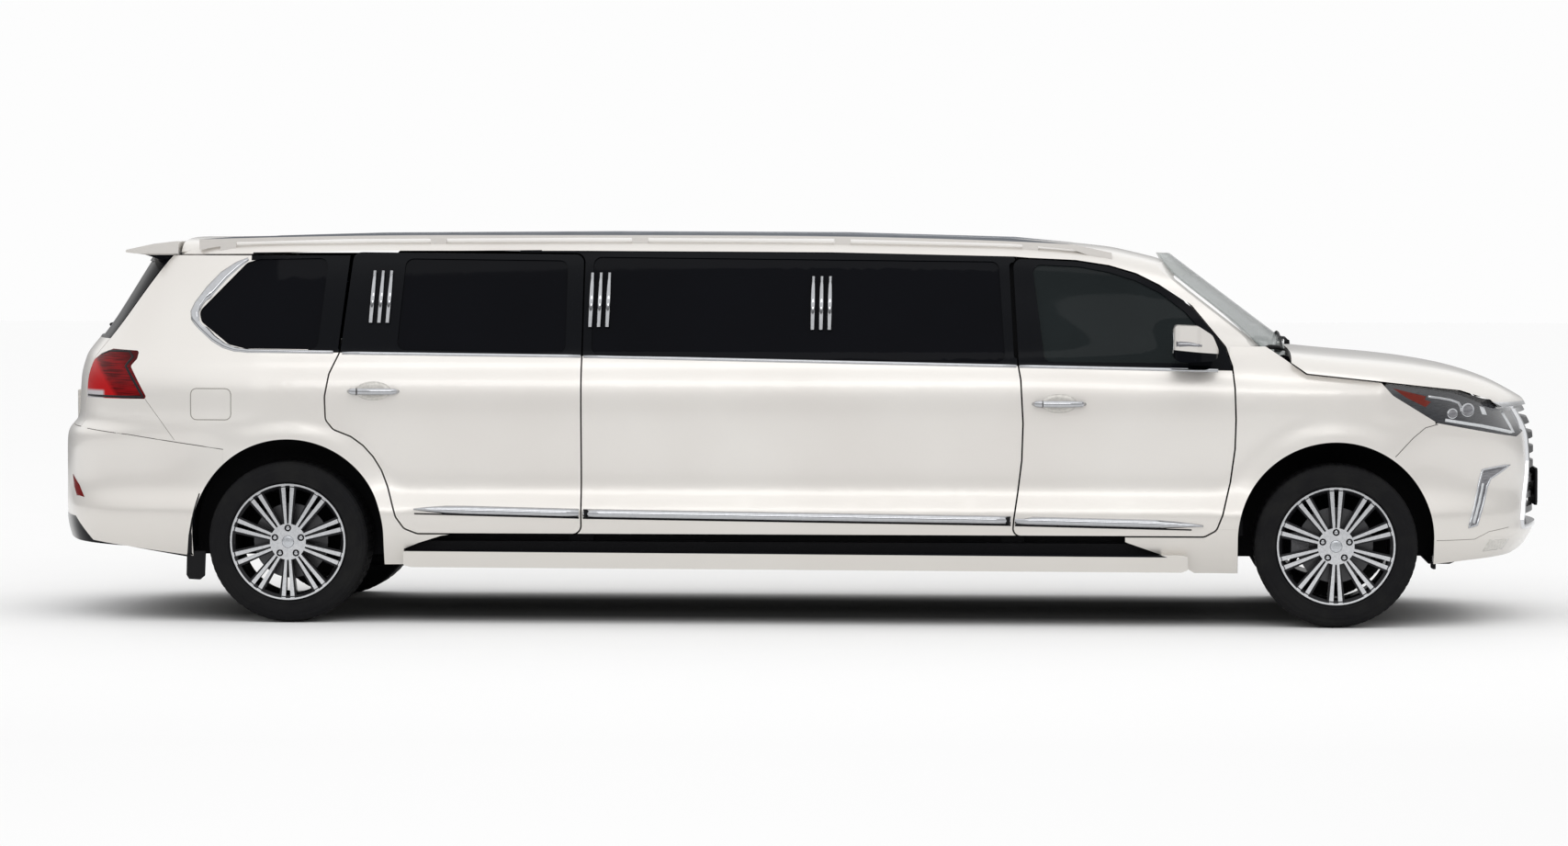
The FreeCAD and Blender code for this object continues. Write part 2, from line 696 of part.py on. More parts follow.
# Hood, a curved sheet from the windscreen to the grille.
hood_crown_shares = [
    (-0.240, 0.6870), (-0.140, 0.6815), (0.026, 0.6730), (0.206, 0.6650), (0.336, 0.6575),
    (0.481, 0.6450), (0.571, 0.6345), (0.654, 0.6220), (0.719, 0.6095), (0.770, 0.5975),
    (0.819, 0.5830), (0.867, 0.5675), (0.905, 0.5560), (0.940, 0.5450),
]
hood_edge_shares = [
    (-0.240, 0.650), (-0.140, 0.636), (0.206, 0.616), (0.571, 0.593), (0.719, 0.567), (0.761, 0.548),
    (0.940, 0.525),
]
hood_cross_shares = [
    (1.0, 0.0), (0.994, 0.20), (0.978, 0.42), (0.940, 0.62), (0.880, 0.75), (0.780, 0.845),
    (0.640, 0.915), (0.440, 0.965), (0.220, 0.993),
]
hood_rows = []
for share in span(-0.235, 0.895, 22):
    x = front_axle + share * front_overhang
    top = table(hood_crown_shares, share) * body_height
    low = table(hood_edge_shares, share) * body_height
    reach = plain_width(low) * plan_share(x, low)
    line = [Vector(x, -reach * a, low + (top - low) * b) for a, b in hood_cross_shares]
    hood_rows.append(line + [Vector(x, 0, top)] + [Vector(p.x, -p.y, p.z) for p in reversed(line)])
hood_skin = layered(hood_rows, 0, size("hood_wall"))
hood_wire_inner = grown(hood_wire, -shut_gap)
hood = one(hood_skin.common(prism(hood_wire_inner, -reach_out, reach_out)))
node("hood", hood)

# Rear quarters, lamps, bumper and liftgate from the loop round the tail.
gate_half = 0.655 * half_width
gate_low = 0.496 * body_height
gate_high = 0.9405 * body_height
rear_side = block(-2 * half_length, 0, -reach_out, -gate_half - shut_gap, 0, gate_high)
quarter_front = rear_axle + 0.62 * rear_overhang
quarter_band = block(-2 * half_length, quarter_front, -reach_out, 0, 0.150 * body_height, gate_high)
lamp_tool = right_prism(tail_lamp_wire)
bumper_tool = prism(rear_bumper_wire, -reach_out, reach_out)
quarter = rear_skin.common(rear_side).common(quarter_band).cut(rear_arch).cut(rear_door_gap)
roof_seat = layered(roof_rows, -seat_gap, size("roof_wall") + 2 * seat_gap).common(roof_band)
quarter = quarter.cut(roof_seat).cut(rocker_room)
quarter = quarter.cut(right_prism(sharp_wire(at_rear(step_shares))))
quarter = one(quarter.cut(bumper_tool).cut(lamp_tool).cut(right_prism(quarter_window_wire)))
node("quarter_panels", both(quarter))
tail_lamp = rear_skin.common(rear_side).common(right_prism(grown(tail_lamp_wire, -seat_gap)))
node("tail_lamps", both(one(tail_lamp)))
rear_bumper = rear_skin.common(prism(grown(rear_bumper_wire, -seat_gap), -reach_out, reach_out))
rear_bumper = one(rear_bumper.cut(rear_arch))
node("rear_bumper", rear_bumper)

gate_zone = block(-2 * half_length, rear_axle - 0.50 * rear_overhang, -gate_half, gate_half,
                  gate_low, gate_high)
gate_glass_low = 0.729 * body_height
gate_glass_high = 0.924 * body_height
gate_frame = 0.055 * half_width


def gate_opening(grow):
    low_half = gate_half - gate_frame + grow
    high_half = low_half - 0.06 * half_width
    outline = [(-low_half, gate_glass_low - grow), (-high_half, gate_glass_high + grow),
               (high_half, gate_glass_high + grow), (low_half, gate_glass_low - grow)]
    spots = [Vector(-2 * half_length, a, b) for a, b in outline]
    face = Part.Face(Part.makePolygon(spots + [spots[0]]))
    return face.extrude(Vector(2 * half_length, 0, 0))


gate = one(rear_skin.common(gate_zone).cut(gate_opening(0)))
spoiler_points = at_rear([(0.462, 0.9775), (0.560, 0.9700), (0.668, 0.9545), (0.671, 0.9480),
                          (0.600, 0.9420), (0.535, 0.9290), (0.505, 0.9290), (0.462, 0.9420)])
spoiler_wire = rounded_wire(spoiler_points, fine_radius / 2)
spoiler_half = gate_half + 0.030 * half_width
spoiler = prism(spoiler_wire, -spoiler_half, spoiler_half)
ahead_cut = block(rear_axle - 0.53 * rear_overhang, 0, -reach_out, reach_out, 0, gate_high)
side_lift = block(-2 * half_length, 0, -reach_out, -gate_half, 0, gate_high + shut_gap)
spoiler = spoiler.cut(side_lift).cut(mirrored(side_lift))
gate = one(gate.fuse(spoiler))
node("liftgate", gate)
pane_skin = layered(rear_rows, glass_setback, glass_thickness)
gate_glass = one(pane_skin.common(gate_opening(-seat_gap)).common(gate_zone))
node("liftgate_glass", gate_glass)

# Side glass sits inside the window openings.
side_pane = layered(side_rows, glass_setback, glass_thickness)


def pane(source, wire):
    return one(source.common(right_prism(grown(wire, -seat_gap))))


front_glass = pane(side_pane, front_window_wire)
node("front_door_glass_right", front_glass)
node("front_door_glass_left", mirrored(front_glass))
rear_glass = pane(side_pane, rear_window_wire)
node("rear_door_glass_right", rear_glass)
node("rear_door_glass_left", mirrored(rear_glass))
quarter_glass = one(pane_skin.common(right_prism(grown(quarter_window_wire, -seat_gap)))
                    .common(rear_side))
middle_glass = pane(side_pane, side_window_wire)
node("fixed_side_glass", Part.makeCompound([quarter_glass, mirrored(quarter_glass), middle_glass,
                                            mirrored(middle_glass)]))

# Roof rails stand on short feet along both roof sides.
bar_thickness = size("bar_thickness")
bar_height = size("bar_height")
rail_line_shares = [(-1.093, 0.9815), (-1.060, 0.9880), (-0.950, 0.9962), (-0.716, 1.0), (-0.480, 0.9975),
                    (-0.309, 0.9850), (-0.250, 0.9700), (-0.212, 0.9480)]
rail_y = 0.715 * half_width


rail_top_line = at_middle(rail_line_shares)
rail_low_line = [(x, z - bar_height) for x, z in rail_top_line]
rail_low_line[0] = (rail_top_line[0][0], rail_top_line[0][1] - 2 * bar_height)
rail_low_line[-1] = (rail_top_line[-1][0], rail_top_line[-1][1] - 2 * bar_height)
rail_wire = sharp_wire(rail_top_line + rail_low_line[::-1])
roof_rail = prism(rail_wire, -rail_y - bar_thickness / 2, -rail_y + bar_thickness / 2)
foot_half = 1.5 * bar_height
for share in (-1.065, -0.860, -0.665, -0.470, -0.290):
    x = front_axle + share * wheelbase
    top = table(sorted(rail_line_shares), share) * body_height - bar_height / 2
    foot = block(x - foot_half, x + foot_half, -rail_y - bar_thickness / 2,
                 -rail_y + bar_thickness / 2, top - 3 * bar_height, top)
    roof_rail = roof_rail.fuse(foot)
roof_seat = layered(side_rows, -seat_gap, 3 * upper_wall)
node("roof_rails", both(one(roof_rail.cut(roof_seat))))

# Running boards below the doors.
board_points = at_middle([(-0.888, 0.186), (-0.888, 0.150), (-0.880, 0.145), (-0.146, 0.140),
                          (-0.1397, 0.146), (-0.1397, 0.180), (-0.146, 0.184), (-0.880, 0.1885)])
board_wire = rounded_wire(board_points, fine_radius)
board_out = 1.006 * half_width
running_board = prism(board_wire, -board_out, -rocker_out - seat_gap)
skirt = side_skin.common(right_prism(sharp_wire(at_front(skirt_shares))))
skirt = skirt.cut(front_door_gap).cut(front_arch).cut(rocker_room)
skirt = one(skirt.cut(prism(grown(fender_wire, seat_gap), -reach_out, reach_out)))
node("running_boards", both(one(running_board.fuse(skirt))))

# Door mirrors on short arms.
mirror_x = front_axle - 0.665 * front_overhang
mirror_z = 0.722 * body_height
mirror_width = size("mirror_width")
mirror_height = size("mirror_height")
mirror_depth = size("mirror_depth")
mirror_inner = 0.985 * half_width
shell_points = [(mirror_x - 0.50 * mirror_width * 0.92, mirror_z + 0.34 * mirror_height),
                (mirror_x - 0.40 * mirror_width, mirror_z + 0.50 * mirror_height),
                (mirror_x + 0.10 * mirror_width, mirror_z + 0.47 * mirror_height),
                (mirror_x + 0.42 * mirror_width, mirror_z + 0.22 * mirror_height),
                (mirror_x + 0.58 * mirror_width, mirror_z - 0.22 * mirror_height),
                (mirror_x + 0.50 * mirror_width, mirror_z - 0.47 * mirror_height),
                (mirror_x - 0.30 * mirror_width, mirror_z - 0.50 * mirror_height),
                (mirror_x - 0.46 * mirror_width, mirror_z - 0.38 * mirror_height)]
shell = prism(rounded_wire(shell_points, bend_radius), -mirror_inner - mirror_width, -mirror_inner)
plan_points = [(mirror_x - 0.50 * mirror_width, -mirror_inner),
               (mirror_x - 0.44 * mirror_width, -mirror_inner - 0.94 * mirror_width),
               (mirror_x + 0.12 * mirror_width, -mirror_inner - 1.00 * mirror_width),
               (mirror_x + 0.52 * mirror_width, -mirror_inner - 0.62 * mirror_width),
               (mirror_x + 0.60 * mirror_width, -mirror_inner)]
shell = shell.common(plan_prism(rounded_wire(plan_points, bend_radius), 0, body_height))
arm_out = -mirror_inner - 0.1 * mirror_width
arm_in = -skin_width(mirror_x, 0.668 * body_height) + seat_gap
arm_wire = [(mirror_x - 0.10 * mirror_width, mirror_z - 0.60 * mirror_height),
            (mirror_x + 0.42 * mirror_width, mirror_z - 0.62 * mirror_height),
            (mirror_x + 0.44 * mirror_width, mirror_z - 0.22 * mirror_height),
            (mirror_x - 0.08 * mirror_width, mirror_z - 0.22 * mirror_height)]
arm_parts = prism(rounded_wire(arm_wire, fine_radius), arm_out, -0.84 * half_width)
arm_parts = arm_parts.cut(layered(side_rows, -seat_gap, wall * 1.5))
arm = sorted(arm_parts.Solids, key=lambda s: s.CenterOfMass.y)[0]
mirror = one(shell.fuse(arm))
node("door_mirror_right", mirror)
node("door_mirror_left", mirrored(mirror))

# Floor, rockers, bulkhead, cowl, wheel housings and roof hoops as one welded frame.
floor_thickness = size("floor_thickness")
floor_half = size("floor_half_width")
post_depth = size("post_depth")
rear_floor = floor_level + 0.13 * body_height


def behind_wall(pole):
    return wall_rule(pole) + seat_gap


def post_back(pole):
    return wall_rule(pole) + seat_gap + post_depth


bulkhead_x = front_axle - arch_radius - 0.09 * tyre_radius - seat_gap
housing_outer = arch_radius + 0.09 * tyre_radius
housing_inner_shares = (0.440, 0.665)
narrow_half = housing_inner_shares[1] * half_width - seat_gap
floor_parts = [
    block(kick_x, bulkhead_x, -floor_half, floor_half, floor_level, floor_level + floor_thickness),
    block(kick_x - floor_thickness, kick_x, -narrow_half, narrow_half, floor_level,
          rear_floor + floor_thickness),
    block(rear_axle - 0.79 * rear_overhang, kick_x, -narrow_half, narrow_half, rear_floor,
          rear_floor + floor_thickness),
    block(bulkhead_x - floor_thickness, bulkhead_x, -floor_half, floor_half, floor_level,
          0.650 * body_height),
    block(bulkhead_x - floor_thickness, front_axle - 0.225 * front_overhang, -0.78 * half_width,
          0.78 * half_width, 0.640 * body_height, 0.662 * body_height),
]
cowl_points = at_front([(-0.400, 0.645), (-0.219, 0.645), (-0.219, 0.674), (-0.238, 0.6863),
                        (-0.311, 0.6863), (-0.400, 0.662)])
floor_parts.append(prism(sharp_wire(cowl_points), -0.60 * half_width, 0.60 * half_width))
rocker = block(kick_x, rocker_end, -rocker_out, -floor_half + floor_thickness,
               0.160 * body_height, floor_level - seat_gap)
pillars = [rocker, mirrored(rocker)]
# rests under the rear edge of the hood and behind the foot of the liftgate
hood_rest = block(front_axle - 0.222 * front_overhang, front_axle - 0.175 * front_overhang,
                  -0.58 * half_width, -0.40 * half_width, 0.640 * body_height, 0.695 * body_height)
hood_room = layered(hood_rows, -seat_gap, post_depth + size("hood_wall"))
hood_rest = one(hood_rest.cut(hood_room))
gate_rest = sheet_solid(inset(rear_rows, behind_wall), inset(rear_rows, post_back))
gate_rest = one(gate_rest.common(block(-2 * half_length, rear_axle, -0.60 * half_width,
                                       -0.45 * half_width, rear_floor, 0.58 * body_height)))
floor_tail = block(rear_axle - 0.862 * rear_overhang, rear_axle, -0.50 * half_width,
                   0.50 * half_width, rear_floor, rear_floor + floor_thickness)
floor_parts += [hood_rest, mirrored(hood_rest), gate_rest, mirrored(gate_rest), floor_tail]


post_skin = sheet_solid(inset(side_rows, behind_wall), inset(side_rows, post_back))
post_places = [(-0.719, 0.060), (-0.306, 0.055), (-0.098, 0.050)]
post_foot = floor_level + floor_thickness + seat_gap
wall_room = layered(side_rows, 0, behind_wall)
post_clear = layered(side_rows, 0, lambda pole: post_back(pole) + seat_gap)
clear_rooms = []
for share, breadth in post_places:
    x = front_axle + share * wheelbase
    half = breadth * wheelbase / 5
    hooped = share < post_places[-1][0]
    top = 0.940 * body_height if hooped else 0.640 * body_height
    post = post_skin.common(block(x - half, x + half, -reach_out, 0, post_foot, top))
    post = one(post.cut(fender_back))
    inner = floor_half - floor_thickness
    tie = block(x - half, min(x + half, bulkhead_x), -0.90 * half_width, -inner, floor_level,
                floor_level + floor_thickness)
    floor_parts += [tie, mirrored(tie)]
    if hooped:
        level = 0.925 * body_height - roof_fall(x, body_height)
        reach = skin_width(x, level) - upper_wall - seat_gap - post_depth / 2
        bow = block(x - half, x + half, -reach, reach, level, level + post_depth)
        bow = one(bow.cut(wall_room).cut(mirrored(wall_room)))
        pillars.append(one(post.fuse([mirrored(post), bow])))
    else:
        pillars += [post, mirrored(post)]
        room = post_clear.common(block(x - half - seat_gap, x + half + seat_gap, -reach_out, 0,
                                       post_foot - seat_gap, top + seat_gap))
        clear_rooms += [room, mirrored(room)]
node("pillars", Part.makeCompound(pillars))
body_frame = floor_parts[0].fuse(floor_parts[1:]).cut(clear_rooms[0]).cut(clear_rooms[1])
node("body_frame", one(body_frame))

# Wheel housings: arched liners with an inner wall, open towards the wheel and below.
liner = size("liner_wall")
front_back = layered(front_rows, 0, wall + seat_gap)
rear_back = layered(rear_rows, 0, wall + seat_gap)
housing_rise = housing_outer - arch_radius
low_end = 0.165 * body_height
post_x = front_axle + post_places[-1][0] * wheelbase
post_half = post_places[-1][1] * wheelbase / 5 + seat_gap
post_room = block(post_x - post_half, post_x + post_half, -half_width, -0.862 * half_width,
                  0, body_height)
axle_room = block(rear_axle - 0.3 * tyre_radius, rear_axle + 0.3 * tyre_radius, -half_width, 0,
                  0, arch_level + 0.2 * tyre_radius)
housings = []
for axle, inner_share, inside, room in (
        (front_axle, housing_inner_shares[0], front_back, post_room),
        (rear_axle, housing_inner_shares[1], rear_back, axle_room)):
    inner = inner_share * half_width
    band = block(axle - 2 * arch_radius, axle + 2 * arch_radius, -0.905 * half_width, -inner, low_end,
                 2 * body_height)
    drum = arch_tool(axle, housing_rise).common(band)
    hollow = arch_tool(axle, housing_rise - liner).common(
        block(axle - 2 * arch_radius, axle + 2 * arch_radius, -half_width, -inner - liner, 0,
              2 * body_height))
    housing = one(drum.cut(hollow).cut(inside).cut(room))
    housings += [housing, mirrored(housing)]
node("wheel_housings", Part.makeCompound(housings))

# Bound pieces: plain forms whose sizes are read from the sheet by expression.
known = [alias for alias, value in sizes]
for alias, formula in (
        ("front_axle_x", "=(wheelbase + rear_overhang - front_overhang) / 2"),
        ("rear_axle_x", "=(rear_overhang - wheelbase - front_overhang) / 2"),
        ("wheel_y", "=track / 2")):
    row = len(known) + 1
    sheet.set("A%d" % row, alias)
    sheet.set("B%d" % row, formula)
    sheet.setAlias("B%d" % row, alias)
    known.append(alias)
doc.recompute()


def expression(text):
    words = text.replace("(", " ( ").replace(")", " ) ").split()
    return " ".join("Sizes." + w if w in known else w for w in words)


def place(item, x, y, z):
    for axis, text in (("x", x), ("y", y), ("z", z)):
        item.setExpression("Placement.Base." + axis, expression(text))


def bound_box(name, length, width, height, x, y, z):
    item = doc.addObject("Part::Box", name)
    item.setExpression("Length", expression(length))
    item.setExpression("Width", expression(width))
    item.setExpression("Height", expression(height))
    place(item, x, y, z)
    return item


def bound_rod(name, radius, height, x, y, z, axis):
    item = doc.addObject("Part::Cylinder", name)
    item.setExpression("Radius", expression(radius))
    item.setExpression("Height", expression(height))
    item.Placement = Placement(Vector(0, 0, 0), Rotation(Vector(0, 0, 1), axis))
    place(item, x, y, z)
    return item


def fused(name, items):
    made = doc.addObject("Part::MultiFuse", name)
    made.Label = name
    made.Shapes = items
    nodes.append(made)
    return made


across = Vector(0, 1, 0)
along = Vector(1, 0, 0)
upward = Vector(0, 0, 1)

# Ladder frame under the floor, raised over both axles.
ladder = []
for side, edge in (("right", "- rail_outer"), ("left", "rail_outer - rail_width")):
    ladder.append(bound_box("rail_main_" + side, "wheelbase * 0.787", "rail_width", "rail_depth",
                            "rear_axle_x + wheelbase * 0.088", edge,
                            "floor_level - seat_gap - rail_depth"))
    ladder.append(bound_box("rail_rise_" + side, "rail_width", "rail_width", "rail_depth * 3.4",
                            "rear_axle_x + wheelbase * 0.088", edge,
                            "floor_level - seat_gap - rail_depth"))
    ladder.append(bound_box("rail_rear_" + side, "rear_overhang * 0.80 + wheelbase * 0.100", "rail_width",
                            "rail_depth", "rear_axle_x - rear_overhang * 0.80", edge,
                            "floor_level - seat_gap + rail_depth * 1.4"))
    ladder.append(bound_box("rail_front_" + side, "front_overhang * 0.72 + wheelbase * 0.090",
                            "rail_width", "rail_depth", "front_axle_x - wheelbase * 0.090", edge,
                            "floor_level + rail_depth * 0.30"))
    ladder.append(bound_box("rail_horn_" + side, "wheelbase * 0.022", "rail_width", "rail_depth * 2.0",
                            "front_axle_x - wheelbase * 0.090", edge,
                            "floor_level - seat_gap - rail_depth"))
    ladder.append(bound_box("rail_link_" + side, "wheelbase * 0.060", "rail_width", "rail_depth",
                            "front_axle_x - wheelbase * 0.128", edge,
                            "floor_level - seat_gap - rail_depth"))
for count, share in enumerate(("0.10", "0.30", "0.50", "0.70", "0.86")):
    ladder.append(bound_box("cross_%d" % (count + 1), "rail_width", "rail_outer * 2 - rail_width",
                            "rail_depth * 0.7", "rear_axle_x + wheelbase * " + share,
                            "rail_width / 2 - rail_outer", "floor_level - seat_gap - rail_depth * 0.9"))
ladder.append(bound_box("cross_rear", "rail_width", "rail_outer * 2 - rail_width", "rail_depth * 0.8",
                        "rear_axle_x - rear_overhang * 0.80", "rail_width / 2 - rail_outer",
                        "floor_level + rail_depth * 1.5"))
ladder.append(bound_box("cross_front", "rail_width", "rail_outer * 2 - rail_width", "rail_depth * 0.8",
                        "front_axle_x + front_overhang * 0.62", "rail_width / 2 - rail_outer",
                        "floor_level + rail_depth * 0.4"))
for side, start in (("right", "rail_width - rail_outer"), ("left", "engine_width / 2 + seat_gap")):
    ladder.append(bound_box("engine_mount_" + side, "rail_width",
                            "rail_outer - rail_width - engine_width / 2 - seat_gap", "rail_depth * 0.5",
                            "front_axle_x - wheelbase * 0.062 + engine_length / 2", start,
                            "floor_level + rail_depth"))
fused("chassis_frame", ladder)

engine = bound_box("engine_block", "engine_length", "engine_width", "engine_height",
                   "front_axle_x - wheelbase * 0.062", "- engine_width / 2", "engine_base")
nodes.append(engine)

# Front suspension: a subframe with an arm on each side.
arms = [bound_box("subframe", "rail_depth * 2.4", "rail_outer * 2", "rail_depth * 0.6",
                  "front_axle_x - rail_depth * 1.2", "- rail_outer", "tyre_radius * 0.60")]
for side, start in (("right", "kingpin_offset - track / 2"), ("left", "rail_outer - rail_width / 2")):
    arms.append(bound_box("lower_arm_" + side, "rail_depth * 0.7",
                          "track / 2 - kingpin_offset - rail_outer + rail_width / 2",
                          "rail_depth * 0.32", "front_axle_x - rail_depth * 0.35", start,
                          "tyre_radius * 0.64"))
for side, start in (("right", "rail_width * 0.1 - rail_outer"), ("left", "rail_outer - rail_width * 0.9")):
    arms.append(bound_box("tower_" + side, "rail_depth * 1.6", "rail_width * 0.8",
                          "floor_level + rail_depth * 0.30 - seat_gap - tyre_radius * 0.62",
                          "front_axle_x - rail_depth * 0.8", start, "tyre_radius * 0.62"))
fused("front_suspension", arms)

# Rear axle with its differential and the propeller shaft.
axle_items = [
    bound_rod("axle_tube", "tyre_radius * 0.12",
              "track + tyre_width * 0.24 - disc_thickness * 2 - seat_gap * 2", "rear_axle_x",
              "disc_thickness + seat_gap - tyre_width * 0.12 - track / 2", "tyre_radius", across),
    bound_rod("spring_right", "tyre_radius * 0.13",
              "floor_level + rail_depth * 1.4 - seat_gap * 2 - tyre_radius", "rear_axle_x",
              "rail_width / 2 - rail_outer", "tyre_radius", upward),
    bound_rod("spring_left", "tyre_radius * 0.13",
              "floor_level + rail_depth * 1.4 - seat_gap * 2 - tyre_radius", "rear_axle_x",
              "rail_outer - rail_width / 2", "tyre_radius", upward),
    bound_rod("differential", "tyre_radius * 0.36", "tyre_width * 0.9", "rear_axle_x",
              "- tyre_width * 0.45", "tyre_radius", across),
    bound_rod("propeller_shaft", "tyre_radius * 0.09", "wheelbase * 0.80", "rear_axle_x", "0",
              "tyre_radius * 0.62", along),
    bound_box("pinion_housing", "tyre_radius * 0.55", "tyre_width * 0.5", "tyre_radius * 0.40",
              "rear_axle_x", "- tyre_width * 0.25", "tyre_radius * 0.45"),
]
fused("rear_axle", axle_items)

# Seats: cushions with raked backs, made of plain blocks.
front_seat_x = "front_axle_x - wheelbase * 0.262"


def seat(prefix, x, y, width, face):
    # face is plus for a seat that looks forward
    items = [bound_box(prefix + "_cushion", "seat_depth", width, "cushion_height", x, y, "seat_base")]
    back_x = x if face > 0 else x + " + seat_depth - back_depth"
    items.append(bound_box(prefix + "_back", "back_depth", width, "seat_height + cushion_height",
                           back_x, y, "seat_base"))
    items.append(bound_box(prefix + "_plinth", "seat_depth * 0.8", width + " * 0.8",
                           "seat_base - floor_level - floor_thickness - seat_gap + cushion_height * 0.1",
                           x + " + seat_depth * 0.1", y + " + " + width + " * 0.1",
                           "floor_level + floor_thickness + seat_gap"))
    return items


def fused_part(name, items):
    made = doc.addObject("Part::MultiFuse", name)
    made.Shapes = items
    return made


def grouped(name, items):
    made = doc.addObject("Part::Compound", name)
    made.Label = name
    made.Links = items
    nodes.append(made)
    return made


driver = fused_part("seat_left", seat("driver", front_seat_x, "seat_width * 0.28", "seat_width", 1))
mate = fused_part("seat_right", seat("mate", front_seat_x, "- seat_width * 1.28", "seat_width", 1))
grouped("front_seats", [driver, mate])
rear_bench = fused_part("rear_bench", seat("rear", "rear_axle_x + wheelbase * 0.120",
                                           "- half_width * 0.70", "half_width * 1.40", 1))
facing = fused_part("facing_bench", seat("facing", "front_axle_x - wheelbase * 0.420",
                                         "- half_width * 0.70", "half_width * 1.40", -1))
side_items = [
    bound_box("side_cushion", "wheelbase * 0.30", "seat_depth * 0.85", "cushion_height",
              "rear_axle_x + wheelbase * 0.245", "half_width * 0.80 - seat_depth * 0.85", "seat_base"),
    bound_box("side_back", "wheelbase * 0.30", "back_depth * 0.7", "seat_height + cushion_height * 0.5",
              "rear_axle_x + wheelbase * 0.245", "half_width * 0.80 - back_depth * 0.7", "seat_base"),
    bound_box("side_plinth", "wheelbase * 0.28", "seat_depth * 0.6",
              "seat_base - floor_level - floor_thickness - seat_gap + cushion_height * 0.1",
              "rear_axle_x + wheelbase * 0.255", "half_width * 0.76 - seat_depth * 0.6",
              "floor_level + floor_thickness + seat_gap"),
]
side_bench = fused_part("side_bench", side_items)
grouped("cabin_seats", [rear_bench, facing, side_bench])

# Dashboard with the steering column and wheel on the left.
dash_items = [
    bound_box("dash_top", "front_overhang * 0.20", "half_width * 1.66", "body_height * 0.115",
              "front_axle_x - front_overhang * 0.735", "- half_width * 0.83", "body_height * 0.525"),
    bound_box("dash_foot", "front_overhang * 0.13", "half_width * 0.30",
              "body_height * 0.53 - floor_level - floor_thickness - seat_gap",
              "front_axle_x - front_overhang * 0.70", "- half_width * 0.15",
              "floor_level + floor_thickness + seat_gap"),
]
column = doc.addObject("Part::Cylinder", "steering_column")
column.setExpression("Radius", expression("hub_radius * 0.4"))
column.setExpression("Height", expression("front_overhang * 0.30"))
column_tilt = Rotation(Vector(0, 1, 0), -66)
column.Placement = Placement(Vector(0, 0, 0), column_tilt)
place(column, "front_axle_x - front_overhang * 0.66", "seat_width * 0.78", "body_height * 0.545")
ring = doc.addObject("Part::Torus", "steering_ring")
ring.setExpression("Radius1", expression("rim_radius * 0.66"))
ring.setExpression("Radius2", expression("hub_radius * 0.26"))
ring.Placement = Placement(Vector(0, 0, 0), column_tilt)
place(ring, "front_axle_x - front_overhang * 0.922", "seat_width * 0.78", "body_height * 0.606")
spoke_bar = doc.addObject("Part::Box", "steering_spoke")
spoke_bar.setExpression("Length", expression("hub_radius * 0.8"))
spoke_bar.setExpression("Width", expression("rim_radius * 1.30"))
spoke_bar.setExpression("Height", expression("hub_radius * 0.3"))
spoke_bar.Placement = Placement(Vector(0, 0, 0), column_tilt)
place(spoke_bar, "front_axle_x - front_overhang * 0.935", "seat_width * 0.78 - rim_radius * 0.65",
      "body_height * 0.592")
dash_items += [column, ring, spoke_bar]
fused("dashboard", dash_items)

# Wheels. The rim is drawn for the right side with its face towards minus Y.
tyre_width = size("tyre_width")
rim_radius = size("rim_radius")
hub_radius = size("hub_radius")
disc_radius = size("disc_radius")
disc_thickness = size("disc_thickness")
spoke_depth = size("spoke_depth")
rim_half = 0.455 * tyre_width


rim_scale = 0.712 * tyre_radius - seat_gap


def ring_solid(pairs):
    # turns an outline of radius and width pairs about the Y axis
    spots = [Vector(0, b, a) for a, b in pairs]
    face = Part.Face(Part.makePolygon(spots + [spots[0]]))
    return face.revolve(Vector(0, 0, 0), Vector(0, 1, 0), 360)


tyre_share_pairs = [
    (0.712, -0.42), (0.745, -0.478), (0.800, -0.497), (0.870, -0.500), (0.930, -0.490), (0.965, -0.462),
    (0.985, -0.420), (0.996, -0.340), (1.000, -0.200), (1.000, 0.200), (0.996, 0.340), (0.985, 0.420),
    (0.965, 0.462), (0.930, 0.490), (0.870, 0.500), (0.800, 0.497), (0.745, 0.478), (0.712, 0.42),
]
bead = 0.960 * rim_scale + seat_gap
tyre = ring_solid([(a * tyre_radius, b * tyre_width) for a, b in tyre_share_pairs]
                  + [(bead, 0.30 * tyre_width), (bead, -0.30 * tyre_width)])
barrel = ring_solid([(a * rim_scale, b * tyre_width) for a, b in [
    (1.010, -0.470), (1.010, -0.452), (0.985, -0.420), (0.960, -0.300), (0.960, 0.300), (0.985, 0.420),
    (0.985, 0.440), (0.930, 0.440), (0.920, 0.280), (0.900, -0.300), (0.925, -0.430), (0.965, -0.470)]])
pairs = int(size("spoke_pairs"))
face_y = -0.452 * tyre_width
turning = [Vector(0, 0, 0), Vector(0, 1, 0)]
spokes = []
inner_r = 0.8 * hub_radius
outer_r = 0.945 * rim_scale
# each spoke tapers from the rim to the hub, two to a pair with a slot between
spoke_foot_share, spoke_foot_half_share = 0.036, 0.027
spoke_head_share, spoke_head_half_share = 0.096, 0.056
for lean in (-1, 1):
    outline = [(lean * spoke_foot_share - spoke_foot_half_share, inner_r),
               (lean * spoke_foot_share + spoke_foot_half_share, inner_r),
               (lean * spoke_head_share + spoke_head_half_share, outer_r),
               (lean * spoke_head_share - spoke_head_half_share, outer_r)]
    spots = [Vector(a * rim_radius, face_y, b) for a, b in outline]
    flat = Part.Face(Part.makePolygon(spots + [spots[0]]))
    spokes.append(flat.extrude(Vector(0, spoke_depth, 0)))
hub = rod(hub_radius * 1.42, face_y + 0.02 * spoke_depth, face_y + spoke_depth, 0, 0)
core_hub = rod(hub_radius * 1.10, face_y + 0.5 * spoke_depth, -0.10 * tyre_width, 0, 0)
neck = rod(hub_radius, -0.12 * tyre_width, -0.12 * tyre_width + disc_thickness, 0, 0)
